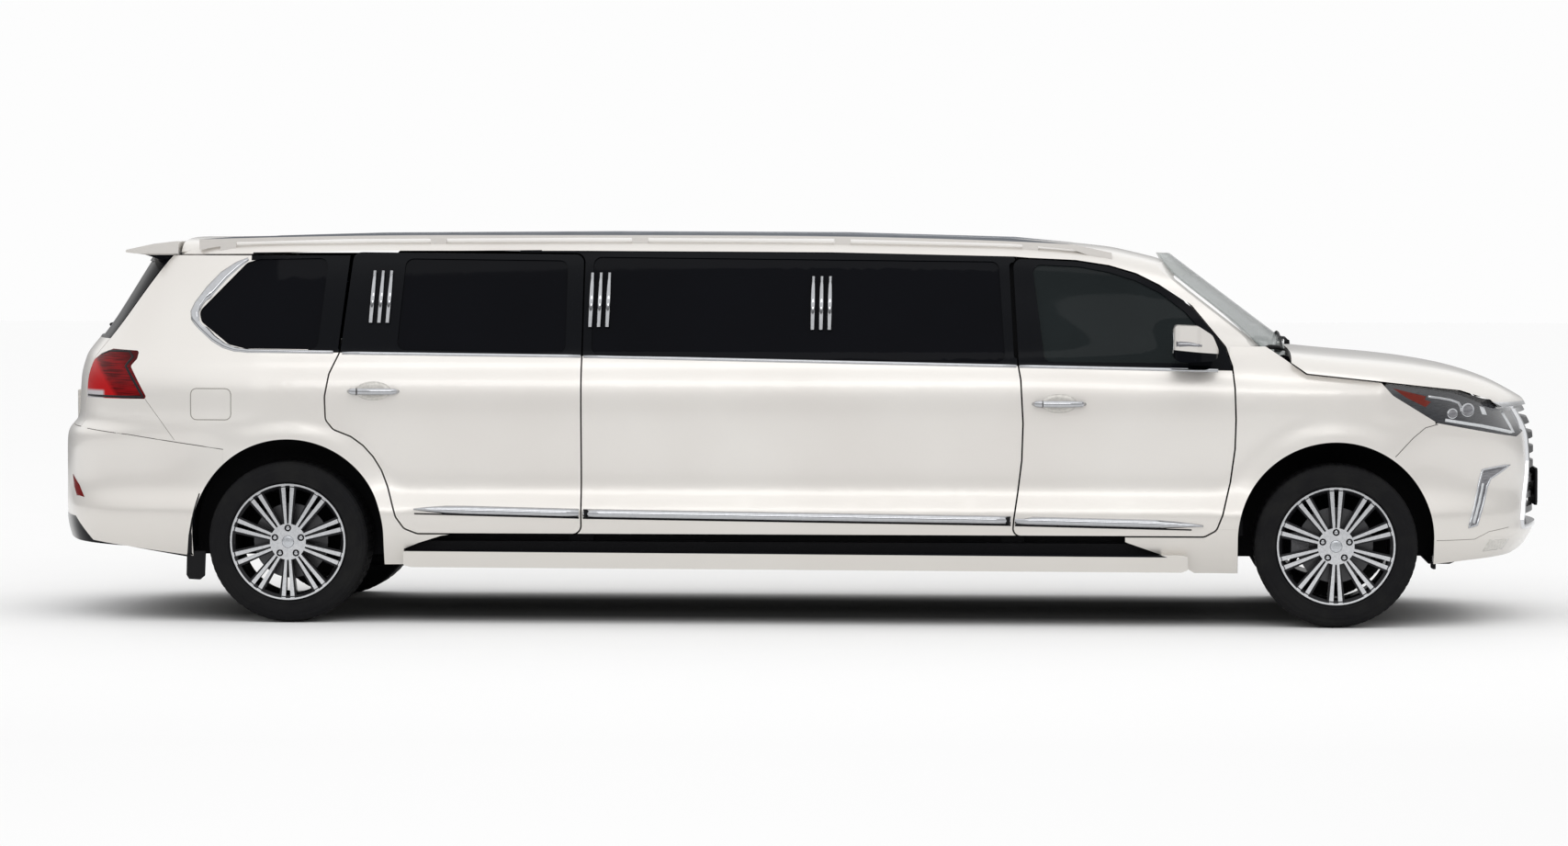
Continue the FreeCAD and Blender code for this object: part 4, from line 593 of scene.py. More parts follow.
def sweep(name, spots, sizes, material, body="body", slot=None, both=True, count=12, up=(0, 0, 1)):
    """A bar along a line of places, with an oval section of two half sizes at each of them."""
    points = []
    spots = [Vector(p) for p in spots]
    for i, place in enumerate(spots):
        tangent = (spots[min(i + 1, len(spots) - 1)] - spots[max(i - 1, 0)]).normalized()
        across = tangent.cross(Vector(up)).normalized()
        rise = across.cross(tangent)
        wide, tall = sizes[i] if isinstance(sizes, list) else sizes
        for k in range(count):
            angle = 2 * math.pi * k / count
            points.append(place + across * wide * math.cos(angle) + rise * tall * math.sin(angle))
    faces = net(len(spots), count)
    faces.append(tuple(range(count)))
    faces.append(tuple(range((len(spots) - 1) * count, len(spots) * count)))
    return pair(name, points, faces, material, body, slot, both=both)


GROOVE_HALF = 0.009
GROOVE_DEPTH = 0.006


def soft_box(name, low, high, radius, material, body="body", face=None, crown=0.0, grooves=(),
             groove_axis=0, count=8):
    """A rounded block. face (axis, sign) is crowned and takes sewn grooves across groove_axis."""
    middle = [(a + b) / 2 for a, b in zip(low, high)]
    half = [(b - a) / 2 for a, b in zip(low, high)]
    ladder = [math.sin(math.pi / 2 * (-1 + 2 * i / count)) for i in range(count + 1)]
    marks = [list(ladder), list(ladder), list(ladder)]
    for g in grooves:
        reach = GROOVE_HALF / half[groove_axis]
        marks[groove_axis] = [t for t in marks[groove_axis] if abs(t - g) > 1.5 * reach]
        marks[groove_axis] += [g - reach, g - reach / 2, g, g + reach / 2, g + reach]
    marks = [sorted(m) for m in marks]
    found = {}
    points = []
    faces = []

    def corner(unit):
        key = tuple(round(t, 5) for t in unit)
        if key in found:
            return found[key]
        place = [t * h for t, h in zip(unit, half)]
        core = [max(-h + radius, min(h - radius, p)) for p, h in zip(place, half)]
        away = Vector([p - c for p, c in zip(place, core)])
        if away.length > 0:
            away = away.normalized() * radius
        place = [c + a for c, a in zip(core, away)]
        if face:
            axis, sign = face
            share = max(0.0, unit[axis] * sign)
            swell = 1.0
            for other in range(3):
                if other != axis:
                    swell *= 1 - abs(unit[other]) ** 2.5
            sink = crown * (1 - swell)
            for g in grooves:
                gap = abs(unit[groove_axis] - g) * half[groove_axis]
                sink += GROOVE_DEPTH * max(0.0, 1 - gap / GROOVE_HALF)
            place[axis] -= sign * sink * share
        found[key] = len(points)
        points.append(tuple(m + p for m, p in zip(middle, place)))
        return found[key]

    for axis in range(3):
        i, j = [k for k in range(3) if k != axis]
        for sign in (-1, 1):
            for a, b in zip(marks[i], marks[i][1:]):
                for c, d in zip(marks[j], marks[j][1:]):
                    ring = []
                    for first, second in ((a, c), (b, c), (b, d), (a, d)):
                        unit = [0, 0, 0]
                        unit[axis], unit[i], unit[j] = sign, first, second
                        ring.append(corner(unit))
                    faces.append(tuple(ring))
    return mesh_piece(name, points, faces, material, body, smooth=True)


def band(name, path, half, height, names, material, body="body", steps=12, across=5, slot=None):
    """A moulding that follows the skin along a line seen from the side."""
    spots = []
    for a, b in zip(path, path[1:]):
        count = max(1, int(steps * math.hypot(b[0] - a[0], b[1] - a[1])))
        for i in range(count):
            t = i / count
            spots.append((a[0] + (b[0] - a[0]) * t, a[1] + (b[1] - a[1]) * t))
    spots.append(path[-1])
    rows = []
    total = len(spots)
    for i, (x, z) in enumerate(spots):
        p = spots[max(i - 1, 0)]
        q = spots[min(i + 1, total - 1)]
        dx, dz = q[0] - p[0], q[1] - p[1]
        size = math.hypot(dx, dz)
        nx, nz = -dz / size, dx / size
        share = i / (total - 1)
        wide = half(share) if callable(half) else half
        row = []
        for c in range(across):
            s = -1 + 2 * c / (across - 1)
            px, pz = x + nx * s * wide, z + nz * s * wide
            place, normal = skin(names, px, pz)
            if place is None:
                place, normal = skin(names, x, z)
            if place is None:
                break
            row.append((place, normal, height * (1 - abs(s) ** 3)))
        if len(row) == across:
            rows.append(row)
    points = []
    faces = []
    for row in rows:
        for place, normal, rise in row:
            points.append(place + normal * max(rise, 0.0004))
        for place, normal, rise in row:
            points.append(place - normal * 0.002)
    wide = 2 * across
    for i in range(len(rows) - 1):
        for c in range(across - 1):
            a = i * wide + c
            faces.append((a, a + wide, a + wide + 1, a + 1))
            b = a + across
            faces.append((b + 1, b + wide + 1, b + wide, b))
        a = i * wide
        faces.append((a + across, a + wide + across, a + wide, a))
        a = i * wide + across - 1
        faces.append((a, a + wide, a + wide + across, a + across))
    for i in (0, len(rows) - 1):
        near = list(range(i * wide, i * wide + across))
        ring = near + [c + across for c in reversed(near)]
        faces.append(tuple(ring if i == 0 else reversed(ring)))
    return pair(name, points, faces, material, body, slot)


# The panels of the side, with what carries a moulding there and the body that it rides on.
PANELS = {"front": ("front_door_right", "front_door"), "middle": ("side_panels", "body"),
          "rear": ("rear_door_right", "rear_door")}


def side_strip(kind, label, path, half, height, material):
    names, body = PANELS[label]
    band(kind + label, path, half, height, names, material, body)


# Belt moulding between the paint and the dark glass.
for label, path in (
        ("front", [(1.132, 1.256), (2.085, 1.2365)]), ("middle", [(-0.98, 1.299), (1.118, 1.2563)]),
        ("rear", [(-2.16, 1.3128), (-0.994, 1.2993)])):
    side_strip("belt_trim_", label, path, 0.0085, 0.007, chrome)

# Lower chrome moulding, with a pointed end in each door, and a black strip of painted shade below it.
for label, path, half in (
        ("rear", [(-1.804, 0.556), (-1.74, 0.556), (-0.998, 0.54)],
         lambda s: 0.004 + 0.018 * min(1, s * 4)),
        ("middle", [(-0.978, 0.539), (1.092, 0.513)], 0.022),
        ("front", [(1.112, 0.512), (1.96, 0.494), (2.016, 0.49)],
         lambda s: 0.004 + 0.018 * min(1, (1 - s) * 4))):
    side_strip("sill_trim_", label, path, half, 0.012, chrome)
# Black strips under the mouldings: painted shade below them.
for label, path in (
        ("rear", [(-1.8, 0.535), (-0.998, 0.517)]), ("middle", [(-0.978, 0.516), (1.092, 0.49)]),
        ("front", [(1.112, 0.489), (1.96, 0.471)])):
    side_strip("sill_foot_", label, path, 0.0035, 0.004, plastic)
for label, x, z in (("rear", -0.966, 0.538), ("front", 1.082, 0.512)):
    outline = [(x - 0.009, z + 0.02), (x + 0.009, z + 0.02), (x + 0.005, z - 0.022), (x - 0.005, z - 0.022)]
    patch("sill_joint_" + label, outline, (x, z), 0.0145, "side_panels", plastic, edge=0.003)

# Slanted chrome ornaments on the dark band, three bars in each set.
BAR_STEP = 0.041
BAR_LIFT = 0.015
for label, top, low, names, body in (
        ("rear", (-2.015, 1.706), (-2.026, 1.454), "rear_door_right rear_door_glass_right", "rear_door"),
        ("middle", (-0.947, 1.697), (-0.952, 1.435), "side_panels fixed_side_glass", "body"),
        ("fore", (0.13, 1.68), (0.129, 1.423), "side_panels fixed_side_glass", "body")):
    for count in range(3):
        foot = skin(names, low[0] + BAR_STEP * count, low[1])[0]
        head, normal = skin(names, top[0] + BAR_STEP * count, top[1])
        sweep("bar_%s_%d" % (label, count + 1), [foot + normal * BAR_LIFT, head + normal * BAR_LIFT],
              (0.01, 0.0055), chrome, body, count=16)

# Chrome surround of the quarter window: distance forward, height and half width at each station.
surround = [(-2.178, 1.3165, 0.0085), (-2.626, 1.322, 0.0093), (-2.692, 1.33, 0.0107),
            (-2.744, 1.35, 0.015), (-2.797, 1.385, 0.02), (-2.857, 1.443, 0.0245),
            (-2.89, 1.485, 0.03), (-2.894, 1.508, 0.031), (-2.878, 1.545, 0.029),
            (-2.826, 1.618, 0.0265), (-2.762, 1.688, 0.024), (-2.695, 1.74, 0.017),
            (-2.645, 1.768, 0.008)]
reaches = [0.0]
for first, second in zip(surround, surround[1:]):
    reaches.append(reaches[-1] + math.dist(first[:2], second[:2]))


def surround_half(share):
    reach = share * reaches[-1]
    for i in range(1, len(reaches)):
        if reach <= reaches[i] or i == len(reaches) - 1:
            t = (reach - reaches[i - 1]) / (reaches[i] - reaches[i - 1])
            return surround[i - 1][2] + (surround[i][2] - surround[i - 1][2]) * min(t, 1.0)


band("quarter_surround", [spot[:2] for spot in surround], surround_half, 0.007, "quarter_panels", chrome,
     steps=40)

# Road tread and side walls. The profile gives radius and share of the tyre's width.
TREAD_TURNS = 240
TREAD_FLOOR = 0.384
TREAD_TOP = 0.3925
TREAD_SHOULDER = 0.3885


def tyre_piece(axle, x, side, sign):
    wall = [(0.27, -0.3), (0.28, -0.42), (0.294, -0.485), (0.3, -0.492), (0.305, -0.487),
            (0.33, -0.499), (0.345, -0.5), (0.35, -0.494), (0.366, -0.489), (0.372, -0.478),
            (0.383, -0.455)]
    profile = list(wall)
    for low, high in ((-0.42, -0.3), (-0.27, -0.105), (-0.075, 0.075), (0.105, 0.27), (0.3, 0.42)):
        profile += [(TREAD_FLOOR, low), (TREAD_SHOULDER if low < -0.41 else TREAD_TOP, low + 0.004),
                    (TREAD_SHOULDER if high > 0.41 else TREAD_TOP, high - 0.004), (TREAD_FLOOR, high)]
    profile += [(r, -w) for r, w in reversed(wall)]
    points = []
    for i in range(TREAD_TURNS):
        angle = 2 * math.pi * i / TREAD_TURNS
        notch = i % 4 == 0
        for r, w in profile:
            radius = r
            if notch and radius > 0.3862 and abs(w) < 0.43:
                radius -= 0.004 if abs(w) < 0.3 else 0.0015
            if notch and 0.366 < r < 0.3862 and abs(w) > 0.44:
                radius -= 0.0015
            points.append((x + radius * math.sin(angle), sign * WHEEL_Y + w * 2 * TYRE_HALF,
                           AXLE_Z + radius * math.cos(angle)))
    faces = net(TREAD_TURNS, len(profile), True)
    tag = "%s_%s" % (axle, side)
    item = mesh_piece("tread_" + tag, points, faces, tyre_skin, "wheel_" + tag, "tyre")
    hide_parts("tyre_" + tag)


for axle, x in AXLES:
    for side, sign in SIDES:
        tyre_piece(axle, x, side, sign)


RIM_FACE = WHEEL_Y + 0.129


def turned(name, pairs, x, z, sign, material, body, count=48):
    """A form turned about a line across the car: pairs of radius and distance from the rim's face."""
    points = []
    wide = len(pairs)
    for i in range(count):
        a = 2 * math.pi * i / count
        points += [(x + r * math.sin(a), sign * (RIM_FACE + out), z + r * math.cos(a)) for r, out in pairs]
    faces = net(count, wide, True, False)
    faces.append(tuple(i * wide for i in range(count)))
    faces.append(tuple(i * wide + wide - 1 for i in reversed(range(count))))
    return mesh_piece(name, points, faces, material, body, "alloy")


# Centre caps and wheel nuts.
CAP = ((0.0295, -0.012), (0.0295, -0.002), (0.027, 0.002), (0.02, 0.003), (0.004, 0.0035))
NUT = ((0.0125, -0.02), (0.0125, -0.005), (0.0095, -0.001), (0.003, 0.0))
for axle, x in AXLES:
    for side, sign in SIDES:
        tag = "%s_%s" % (axle, side)
        turned("cap_" + tag, CAP, x, AXLE_Z, sign, satin, "wheel_" + tag)
        for count in range(5):
            a = 2 * math.pi * count / 5
            turned("nut_%s_%d" % (tag, count + 1), NUT, x + NUT_CIRCLE * math.sin(a),
                   AXLE_Z + NUT_CIRCLE * math.cos(a), sign, chrome, "wheel_" + tag, 12)


# Door handles, each over a darker patch of painted shade that stands for its shallow dish.


def handle(name, x0, x1, z, body_of):
    names = body_of + "_right"
    middle = (x0 + x1) / 2
    # The dish is a flat patch in a darker pearl: painted shade, not a recess in the door.
    patch(name + "_dish", oval(middle, z + 0.002, 0.088, 0.046), (middle, z), 0.001, names, pearl_darker_and_painted_shade,
          body_of, edge=0.03, step=0.2)
    spots = []
    sizes = []
    for i in range(17):
        t = i / 16
        place = skin(names, x0 + (x1 - x0) * t, z)[0]
        swell = max(0.0, math.sin(math.pi * t)) ** 0.35
        spots.append(place + Vector((0, -1, 0)) * (0.001 + 0.034 * swell))
        sizes.append((0.0035 + 0.0065 * swell, 0.006 + (0.0115 if t < 0.25 else 0.0105) * swell ** 0.5))
    sweep(name, spots, sizes, chrome, body_of)
    place = skin(names, x0 + (x1 - x0) * 0.19, z)[0]
    gap = [place + Vector((-0.0015, -0.034, 0)), place + Vector((0.0015, -0.034, 0))]
    sweep(name + "_lock_gap", gap, (0.0108, 0.0185), seam_dark, body_of, "chrome")


handle("handle_front", 1.195, 1.451, 1.075, "front_door")
handle("handle_rear", -2.126, -1.875, 1.128, "rear_door")

# Shut lines and pressed lines that the panels carry, and painted shade along the front bumper's crease and
# in its scoop.


def ring_path(x0, x1, z0, z1, radius):
    path = []
    for cx, cz, start in ((x1 - radius, z1 - radius, 0), (x0 + radius, z1 - radius, 90),
                          (x0 + radius, z0 + radius, 180), (x1 - radius, z0 + radius, 270)):
        for k in range(5):
            angle = math.radians(start + 22.5 * k)
            path.append((cx + radius * math.cos(angle), cz + radius * math.sin(angle)))
    return path + [path[0]]


def line(name, path, names, half=0.0017, material=seam_dark):
    band(name, path, half, 0.0007, names, material, steps=40, across=3)


line("fuel_flap_gap", ring_path(-2.9, -2.7, 0.987, 1.139, 0.028), "quarter_panels", 0.0022, seam_soft_and_crease_shade)
line("seam_fender", [(3.138, 0.979), (3.078, 0.963), (3.019, 0.914), (2.934, 0.824)],
     "front_fenders front_bumper")
line("seam_bumper", [(-3.453, 0.934), (-3.22, 0.911), (-2.99, 0.878), (-2.74, 0.843)],
     "rear_bumper quarter_panels")
line("seam_pillar", [(-3.132, 1.085), (-3.06, 0.99), (-2.985, 0.888)], "quarter_panels", 0.0013,
     seam_soft_and_crease_shade)
# The bumper's crease is a soft dark line: painted shade along the chamfer.
line("bumper_crease_shade", [(3.08, 0.42), (3.323, 0.422), (3.397, 0.456), (3.5, 0.47)], "front_bumper",
     0.0016, seam_soft_and_crease_shade)
# The scoop is a flat patch in a darker pearl: painted shade of a recess in the bumper.
patch("bumper_scoop_shade", [(3.398, 0.417), (3.508, 0.412), (3.472, 0.362), (3.366, 0.358)], (3.436, 0.388),
      0.0012, "front_bumper", pearl_darker_and_painted_shade, edge=0.012)
for label, x in (("rear", -2.098), ("middle", -0.962), ("front", 1.11)):
    line("roof_seam_" + label, [(x, 1.8), (x, 1.835), (x, 1.858)], "roof_sides", 0.0012, seam_soft_and_crease_shade)

# Lamps: marker, light guides and lenses laid into the dark lamp.
lamp = "headlamps"
patch("lamp_marker",
      [(2.92, 1.153), (3.08, 1.114), (3.074, 1.098), (3.104, 1.087), (3.078, 1.062), (2.985, 1.108)],
      (3.03, 1.105), 0.0015, lamp, amber)
band("lamp_guide",
     [(3.09, 1.114), (3.15, 1.106), (3.204, 1.095), (3.24, 1.082), (3.252, 1.062), (3.255, 1.04)],
     0.0065, 0.003, lamp, chrome, steps=60)
band("lamp_foot",
     [(3.174, 0.999), (3.26, 0.984), (3.357, 0.967), (3.45, 0.946), (3.528, 0.926), (3.51, 0.96),
      (3.468, 1.026)], 0.0075, 0.003, lamp, lamp_white, steps=50, slot="chrome")


def lens(name, x, z, radius):
    inner = radius * 0.78
    patch(name + "_bezel", oval(x, z, radius, radius), (x, z), 0.002, lamp, chrome, edge=0.003, step=0.2)
    patch(name, oval(x, z, inner, inner), (x, z), 0.003, lamp, lamp_grey, edge=0.003, rise=0.006, step=0.2)


lens("lens_main", 3.287, 1.046, 0.034)
lens("lens_inner", 3.21, 1.03, 0.026)
patch("lens_corner", [(3.345, 1.062), (3.372, 1.055), (3.384, 1.018), (3.36, 1.022)], (3.365, 1.04),
      0.003, lamp, lamp_white, edge=0.004, rise=0.002)
band("tail_edge",
     [(-3.462, 1.096), (-3.142, 1.094), (-3.24, 1.246), (-3.205, 1.29), (-3.226, 1.317), (-3.345, 1.317),
      (-3.435, 1.282)], 0.006, 0.002, "tail_lamps", lamp_black, steps=50)
patch("reflector", [(-3.556, 0.7), (-3.505, 0.655), (-3.468, 0.596), (-3.52, 0.6), (-3.545, 0.64)],
      (-3.514, 0.64), 0.003, "rear_bumper", reflector_red, edge=0.004)

# Fog lamp trims in the bumper corners.
bumper = "front_bumper"
fog = [(3.362, 0.755), (3.43, 0.765), (3.505, 0.772), (3.467, 0.747), (3.403, 0.711), (3.384, 0.671),
       (3.371, 0.613), (3.334, 0.491), (3.293, 0.48), (3.321, 0.58), (3.346, 0.696)]
patch("fog_lamp", fog, (3.364, 0.7), 0.002, bumper, lamp_grey)
band("fog_trim", fog + [fog[0]], 0.0055, 0.006, bumper, chrome, steps=60)
band("fog_light", [(3.316, 0.5), (3.345, 0.6), (3.364, 0.69)], 0.008, 0.005, bumper, lamp_white,
     steps=60)

# Number plates, both blank, on their holders.
PLATE_WIDE = 0.165
PLATE_TALL = 0.08


def plate(name, x, z, sign, rim, material, body):
    """A blank plate about x and z that faces forward where sign is 1; rim is its holder's margin."""
    soft_box(name + "_holder", (x - 0.01, -PLATE_WIDE - rim, z - PLATE_TALL - rim),
             (x + 0.006, PLATE_WIDE + rim, z + PLATE_TALL + rim), 0.004, material, body)
    face = x + 0.006 if sign > 0 else x - 0.01
    soft_box(name, (face - 0.0015, -PLATE_WIDE, z - PLATE_TALL), (face + 0.0015, PLATE_WIDE, z + PLATE_TALL),
             0.0014, plate_white, body)
    for label, y in (("a", -0.6 * PLATE_WIDE), ("b", 0.6 * PLATE_WIDE)):
        level = z + 0.72 * PLATE_TALL
        soft_box("%s_screw_%s" % (name, label), (face - 0.0025, y - 0.006, level - 0.006),
                 (face + 0.0025, y + 0.006, level + 0.006), 0.0024, chrome, body, count=4)


plate("plate_front", 3.679, 0.64, 1, 0.012, plastic, "body")
tail = skin("liftgate", 0.0, 1.02, "back")[0].x
plate("plate_rear", tail + 0.011, 1.02, -1, 0.004, pearl_darker_and_painted_shade, "liftgate")

# Mirror glasses, with an outline between an oval and a box.
for side, sign in SIDES:
    middle = (sign * 1.045, 1.376)
    patch("mirror_glass_" + side, oval(*middle, 0.085, 0.055, 0.6), middle, 0.0015, "door_mirror_" + side,
          mirror_glass, "front_door_" + side, both=False, way="back")

# Radiator screen behind the slats.
FINS = 80
fins = []
for i in range(FINS + 1):
    y = -0.4 + 0.01 * i
    x = 3.455 if i % 2 else 3.449
    fins += [(x, y, 0.5), (x, y, 1.0)]
fin_faces = [(2 * i, 2 * i + 2, 2 * i + 3, 2 * i + 1) for i in range(FINS)]
mesh_piece("radiator_fins", fins, fin_faces, frame_paint, "body", "frame_paint")

# Black foot of the rear bumper's arch edge.
band("arch_edge", [(-2.857, 0.628), (-2.869, 0.585), (-2.887, 0.5), (-2.901, 0.42), (-2.909, 0.326)],
     lambda t: 0.003 + 0.013 * t, 0.002, "rear_bumper", plastic, steps=60)


def slab(name, outline, near, far):
    """A black plate with an outline in the side view, from one distance from the middle to another."""
    total = len(outline)
    points = [(a, -far, b) for a, b in outline] + [(a, -near, b) for a, b in outline]
    faces = [tuple(range(total)), tuple(range(total, 2 * total))] + net(2, total)
    for item in pair(name, points, faces, plastic, "body", smooth=False):
        bevel = item.modifiers.new("edge", "BEVEL")
        bevel.width = min(0.004, (far - near) / 3)
        bevel.segments = 2


# Guards behind the rear wheels, and the tray and towing eyes under the nose.
slab("flap_flange",
     [(-2.893, 0.345), (-2.927, 0.335), (-2.93, 0.228), (-2.917, 0.207), (-2.862, 0.204), (-2.838, 0.224),
      (-2.833, 0.345)], 0.904, 0.912)
slab("flap_panel",
     [(-2.893, 0.36), (-2.925, 0.35), (-2.928, 0.228), (-2.917, 0.21), (-2.906, 0.214), (-2.914, 0.232),
      (-2.9, 0.345)], 0.725, 0.905)
slab("front_tray", [(3.11, 0.303), (3.11, 0.292), (3.215, 0.292), (3.24, 0.303)], 0.0, 0.68)
slab("tow_loop", [(3.125, 0.296), (3.125, 0.272), (3.136, 0.264), (3.15, 0.264), (3.15, 0.296)],
     0.64, 0.662)

# Wipers, parked low on the glass.


def glass_foot(y):
    """How far forward the windscreen reaches at a distance from the middle."""
    x = 2.43
    while skin("windscreen", x, y, "top")[0] is None:
        x -= 0.002
    return x


for label, start, stop, pivot_y in (("right", -0.7, -0.06, -0.56), ("left", 0.02, 0.64, 0.16)):
    reach = [start + (stop - start) * i / 14 for i in range(15)]
    blade = raised("windscreen", [(glass_foot(y) - 0.022, y) for y in reach], 0.009, "top")
    sweep("wiper_blade_" + label, blade, (0.006, 0.008), rubber, both=False, count=8)
    middle = blade[8] + Vector((0.004, 0, 0.01))
    pivot = Vector((2.429, pivot_y, middle.z - 0.02))
    sweep("wiper_arm_" + label,
          [pivot + Vector((0, 0, 0.006)), (pivot + middle) / 2 + Vector((0, 0, 0.01)), middle],
          [(0.01, 0.006), (0.008, 0.005), (0.006, 0.004)], plastic, both=False, count=8)
    sweep("wiper_pivot_" + label, [pivot + Vector((0, 0, lift)) for lift in (-0.01, 0.008, 0.012)],
          [(0.005, 0.014), (0.005, 0.013), (0.003, 0.007)], plastic, both=False, up=(1, 0, 0))
for side, sign in SIDES:
    sweep("cowl_end_" + side, [(2.292, sign * 0.835, 1.336), (2.335, sign * 0.79, 1.347),
                               (2.375, sign * 0.74, 1.344), (2.412, sign * 0.7, 1.33)],
          [(0.006, 0.004), (0.016, 0.012), (0.018, 0.012), (0.008, 0.005)], plastic, both=False,
          count=10)
hub = raised("liftgate_glass", [(0.0, 1.42)], 0.012, "back")[0]
blade = raised("liftgate_glass", [(0.06 + 0.036 * i, 1.425 + 0.004 * i) for i in range(11)], 0.012, "back")
sweep("rear_wiper_blade", blade, (0.008, 0.01), rubber, "liftgate", both=False, count=8)
sweep("rear_wiper_arm", [hub, blade[3] + Vector((-0.01, 0, 0)), blade[6] + Vector((-0.012, 0, 0))],
      [(0.014, 0.01), (0.01, 0.007), (0.006, 0.005)], plastic, "liftgate", both=False, count=8)

# Mirror lamps, each with a bright strip.
band("mirror_lamp", [(1.88, 1.37), (1.94, 1.37), (2.0, 1.362)], lambda s: 0.014 - 0.008 * s, 0.002,
     "door_mirror_right", lamp_grey, "front_door", steps=80)
band("mirror_lamp_strip", [(1.885, 1.372), (1.94, 1.372), (1.985, 1.366)], 0.0045, 0.004,
     "door_mirror_right", chrome, "front_door", steps=80)

# Inner door trims.
TRIM_FOOT = 0.5
for body, x0, x1, z1 in (("front_door", 1.19, 2.06, 1.215), ("rear_door", -1.84, -1.09, 1.27)):
    patch("door_trim_" + body[:-5], [(x0, TRIM_FOOT), (x1, TRIM_FOOT), (x1, z1), (x0, z1)],
          ((x0 + x1) / 2, (TRIM_FOOT + z1) / 2), 0.004, body + "_right", leather_dark, body,
          edge=0.02, way="inner")

# Upholstery: crowned cushions with sewn channels on dark bases.
CHANNELS = (-0.62, 0.0, 0.62)
REST_HALF = 0.125


def seat_pad(name, low, high, face, axis, grooves=CHANNELS, radius=0.045, crown=0.022):
    item = soft_box(name, low, high, radius, leather, "body", face, crown, grooves, axis, count=10)
    return item


def seat_row(name, spans, base, cushion, back, rest, sense, axis):
    """Seats side by side, each facing along the sense, with the first cushion returned.

    The spans run along the axis. Base, cushion, back and rest give two depths and two heights.
    """
    cushions = []

    def corners(spot, span):
        ends = [min(spot[:2]), span[0], spot[2]], [max(spot[:2]), span[1], spot[3]]
        if axis == 0:
            for end in ends:
                end[0], end[1] = end[1], end[0]
        return ends

    turn = 1 - axis
    for count, span in enumerate(spans):
        tag = "%s_%d" % (name, count + 1)
        cushions.append(seat_pad(tag + "_cushion", *corners(cushion, span), (2, 1), axis))
        seat_pad(tag + "_back", *corners(back, span), (turn, sense), axis)
        if rest:
            middle = (span[0] + span[1]) / 2
            head = corners(rest, (middle - REST_HALF, middle + REST_HALF))
            seat_pad(tag + "_rest", *head, (turn, sense), axis, (), 0.035, 0.012)
    low, high = corners(base, (spans[0][0] + 0.03, spans[-1][1] - 0.03))
    soft_box(name + "_base", low, high, 0.015, dash_skin)
    return cushions[0]


front_pads = [
    seat_row("seat_front_" + side, [tuple(sorted((sign * 0.15, sign * 0.66)))],
             (1.39, 1.8, 0.442, 0.58), (1.44, 1.84, 0.56, 0.718),
             (1.326, 1.47, 0.64, 1.165), (1.345, 1.445, 1.18, 1.355), 1, 1) for side, sign in SIDES]
CABIN_SPANS = [(-0.675, -0.228), (-0.224, 0.224), (0.228, 0.675)]
cabin_pad = seat_row(
    "seat_rear", CABIN_SPANS, (-1.76, -1.34, 0.442, 0.59), (-1.69, -1.298, 0.57, 0.718),
    (-1.81, -1.668, 0.65, 1.165), (-1.795, -1.695, 1.18, 1.355), 1, 1)
seat_row("seat_facing", CABIN_SPANS,
         (0.566, 0.986, 0.442, 0.59), (0.525, 0.916, 0.57, 0.718),
         (0.894, 1.037, 0.65, 1.165), (0.922, 1.022, 1.18, 1.355), -1, 1)
seat_row("seat_side", [(-1.175, -0.672), (-0.668, -0.168), (-0.164, 0.338)],
         (0.4, 0.7, 0.442, 0.59), (0.338, 0.69, 0.57, 0.718),
         (0.674, 0.772, 0.65, 1.225), None, -1, 0)
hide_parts("front_seats")
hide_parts("cabin_seats")

# Pale floor, soft light and the camera at the photograph's angle.


def grey(level):
    return level, level, level


def stage_floor():
    """White to the eye, but darker to reflections far out, with a painted shadow on the floor beneath the
    car.
    """
    mesh = bpy.data.meshes.new("floor")
    far = 60.0
    mesh.from_pydata([(-far, -far, 0), (far, -far, 0), (far, far, 0), (-far, far, 0)], [], [(0, 1, 2, 3)])
    m = Maker("floor_white", grey(0.9), 0.9, specular=0.0)
    speck = m.noise(3.0)
    white = m.mix(m.ramp(speck, 0.3, 0.7), grey(0.912), grey(0.908))
    white = m.mix(m.ramp(m.y, -1.5, -6.0), white, grey(0.825))
    far_share = m.ramp(m.math("ABSOLUTE", m.y), 8.0, 13.0)
    seen = m.node("ShaderNodeLightPath").outputs["Is Camera Ray"]
    hidden = m.times(far_share, m.less(1.0, seen))
    # Painted shadow: the floor is dark grey beneath the car.
    below = m.times(m.ramp(m.math("ABSOLUTE", m.y), 0.95, 0.45),
                    m.ramp(m.math("ABSOLUTE", m.x), 3.4, 2.7))
    white = m.mix(below, white, grey(0.22))
    m.colour(m.mix(hidden, white, grey(0.2)))
    mesh.materials.append(m.made)
    item = bpy.data.objects.new("floor", mesh)
    scene.collection.objects.link(item)
    item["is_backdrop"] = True


stage_floor()

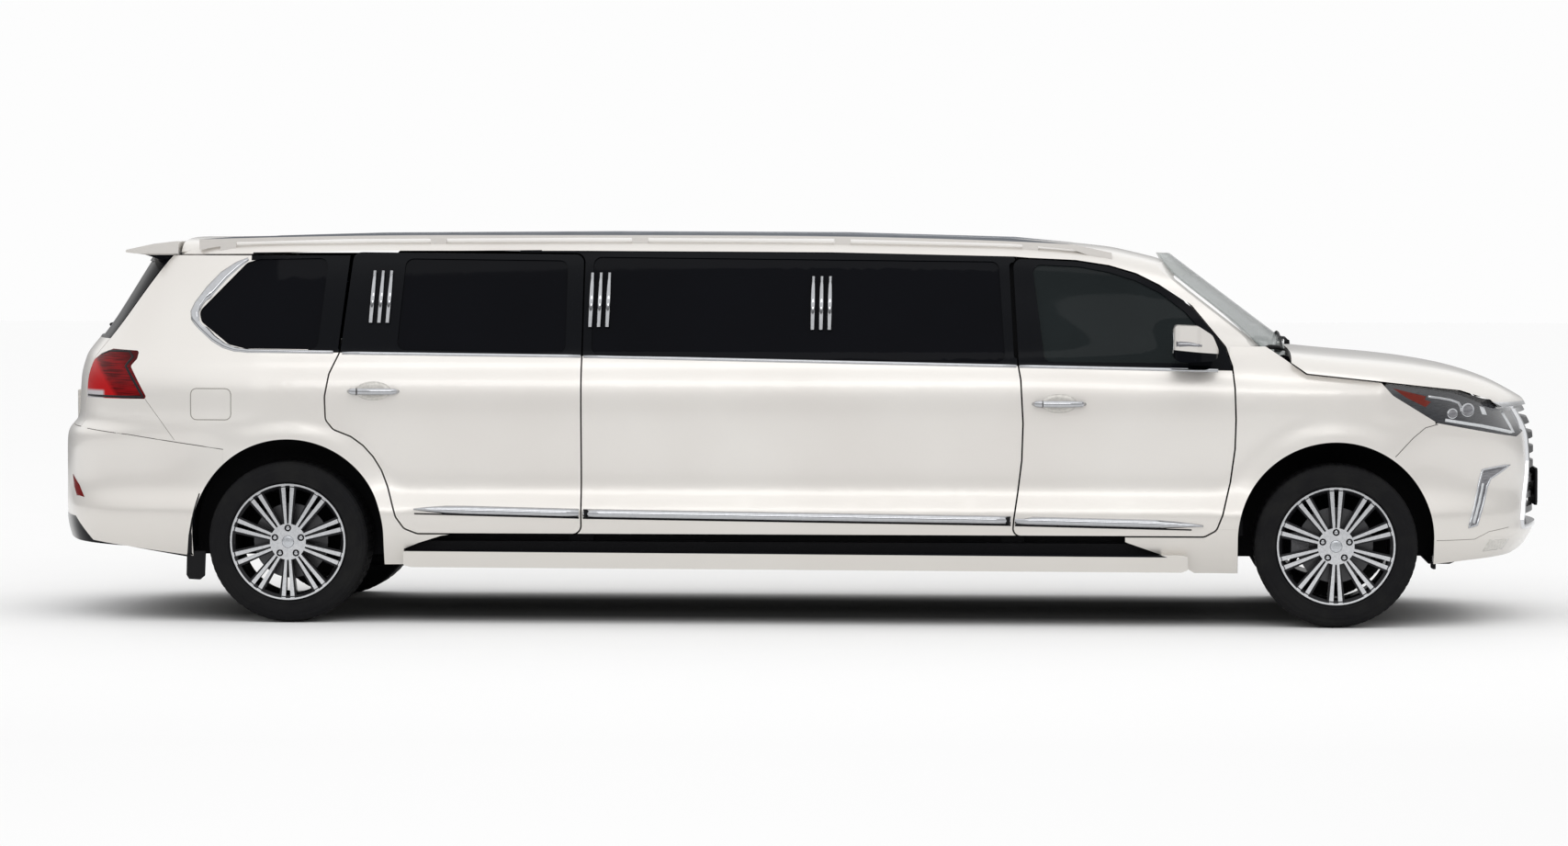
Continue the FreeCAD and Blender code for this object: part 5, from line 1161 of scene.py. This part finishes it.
BACKDROP = 0.982
world = bpy.data.worlds.new("studio")
scene.world = world
world.use_nodes = True
tree = world.node_tree
coord = tree.nodes.new("ShaderNodeTexCoord")
split = tree.nodes.new("ShaderNodeSeparateXYZ")
tree.links.new(coord.outputs["Generated"], split.inputs[0])
ramp = tree.nodes.new("ShaderNodeValToRGB")
tree.links.new(split.outputs[2], ramp.inputs[0])
steps = ramp.color_ramp.elements
steps[0].color = (0.3, 0.3, 0.31, 1)
steps[1].color = (1.05, 1.05, 1.05, 1)
for height, level in ((0.05, 0.3), (0.14, 0.55), (0.22, 0.98), (0.4, 1.1), (0.6, 1.1)):
    steps.new(height).color = (*grey(level), 1)
path = tree.nodes.new("ShaderNodeLightPath")
mixer = tree.nodes.new("ShaderNodeMix")
mixer.data_type = "RGBA"
tree.links.new(path.outputs["Is Camera Ray"], mixer.inputs[0])
tree.links.new(ramp.outputs[0], mixer.inputs[6])
mixer.inputs[7].default_value = (*grey(BACKDROP), 1)
tree.links.new(mixer.outputs[2], tree.nodes["Background"].inputs[0])


def area_light(name, place, target, width, height, power):
    data = bpy.data.lights.new(name, "AREA")
    data.shape = "RECTANGLE"
    data.size = width
    data.size_y = height
    data.energy = power
    item = bpy.data.objects.new(name, data)
    scene.collection.objects.link(item)
    item.location = place
    item.rotation_euler = (Vector(target) - Vector(place)).to_track_quat("-Z", "Y").to_euler()


area_light("key_strip", (0.5, -6.0, 6.5), (0.0, 0.0, 0.9), 9.0, 1.6, 60.0)
area_light("side_fill", (0.0, -15.0, 5.0), (0.0, 0.0, 0.9), 10.0, 2.0, 150.0)

# The photograph's width, middle and focal length, and where its lines across the car meet, in pixels.
PHOTO_WIDTH = 1707.0
MIDDLE = (853.5, 460.5)
FOCAL = 5090.0
MEET = (1171, 228)
SENSOR = 36.0
camera_data = bpy.data.cameras.new("camera")
camera = bpy.data.objects.new("camera", camera_data)
scene.collection.objects.link(camera)
scene.camera = camera
camera_data.sensor_width = SENSOR
camera_data.lens = SENSOR * FOCAL / PHOTO_WIDTH
camera_data.clip_end = 200.0
camera.location = (1.401, -23.4625, 2.01)
turn = math.atan((MEET[0] - MIDDLE[0]) / FOCAL)
dip = math.atan((MIDDLE[1] - MEET[1]) / FOCAL)
look = Vector((-math.sin(turn) * math.cos(dip), math.cos(turn) * math.cos(dip), -math.sin(dip)))
camera.rotation_euler = look.to_track_quat("-Z", "Y").to_euler()
scene.view_settings.view_transform = "Standard"

low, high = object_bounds()
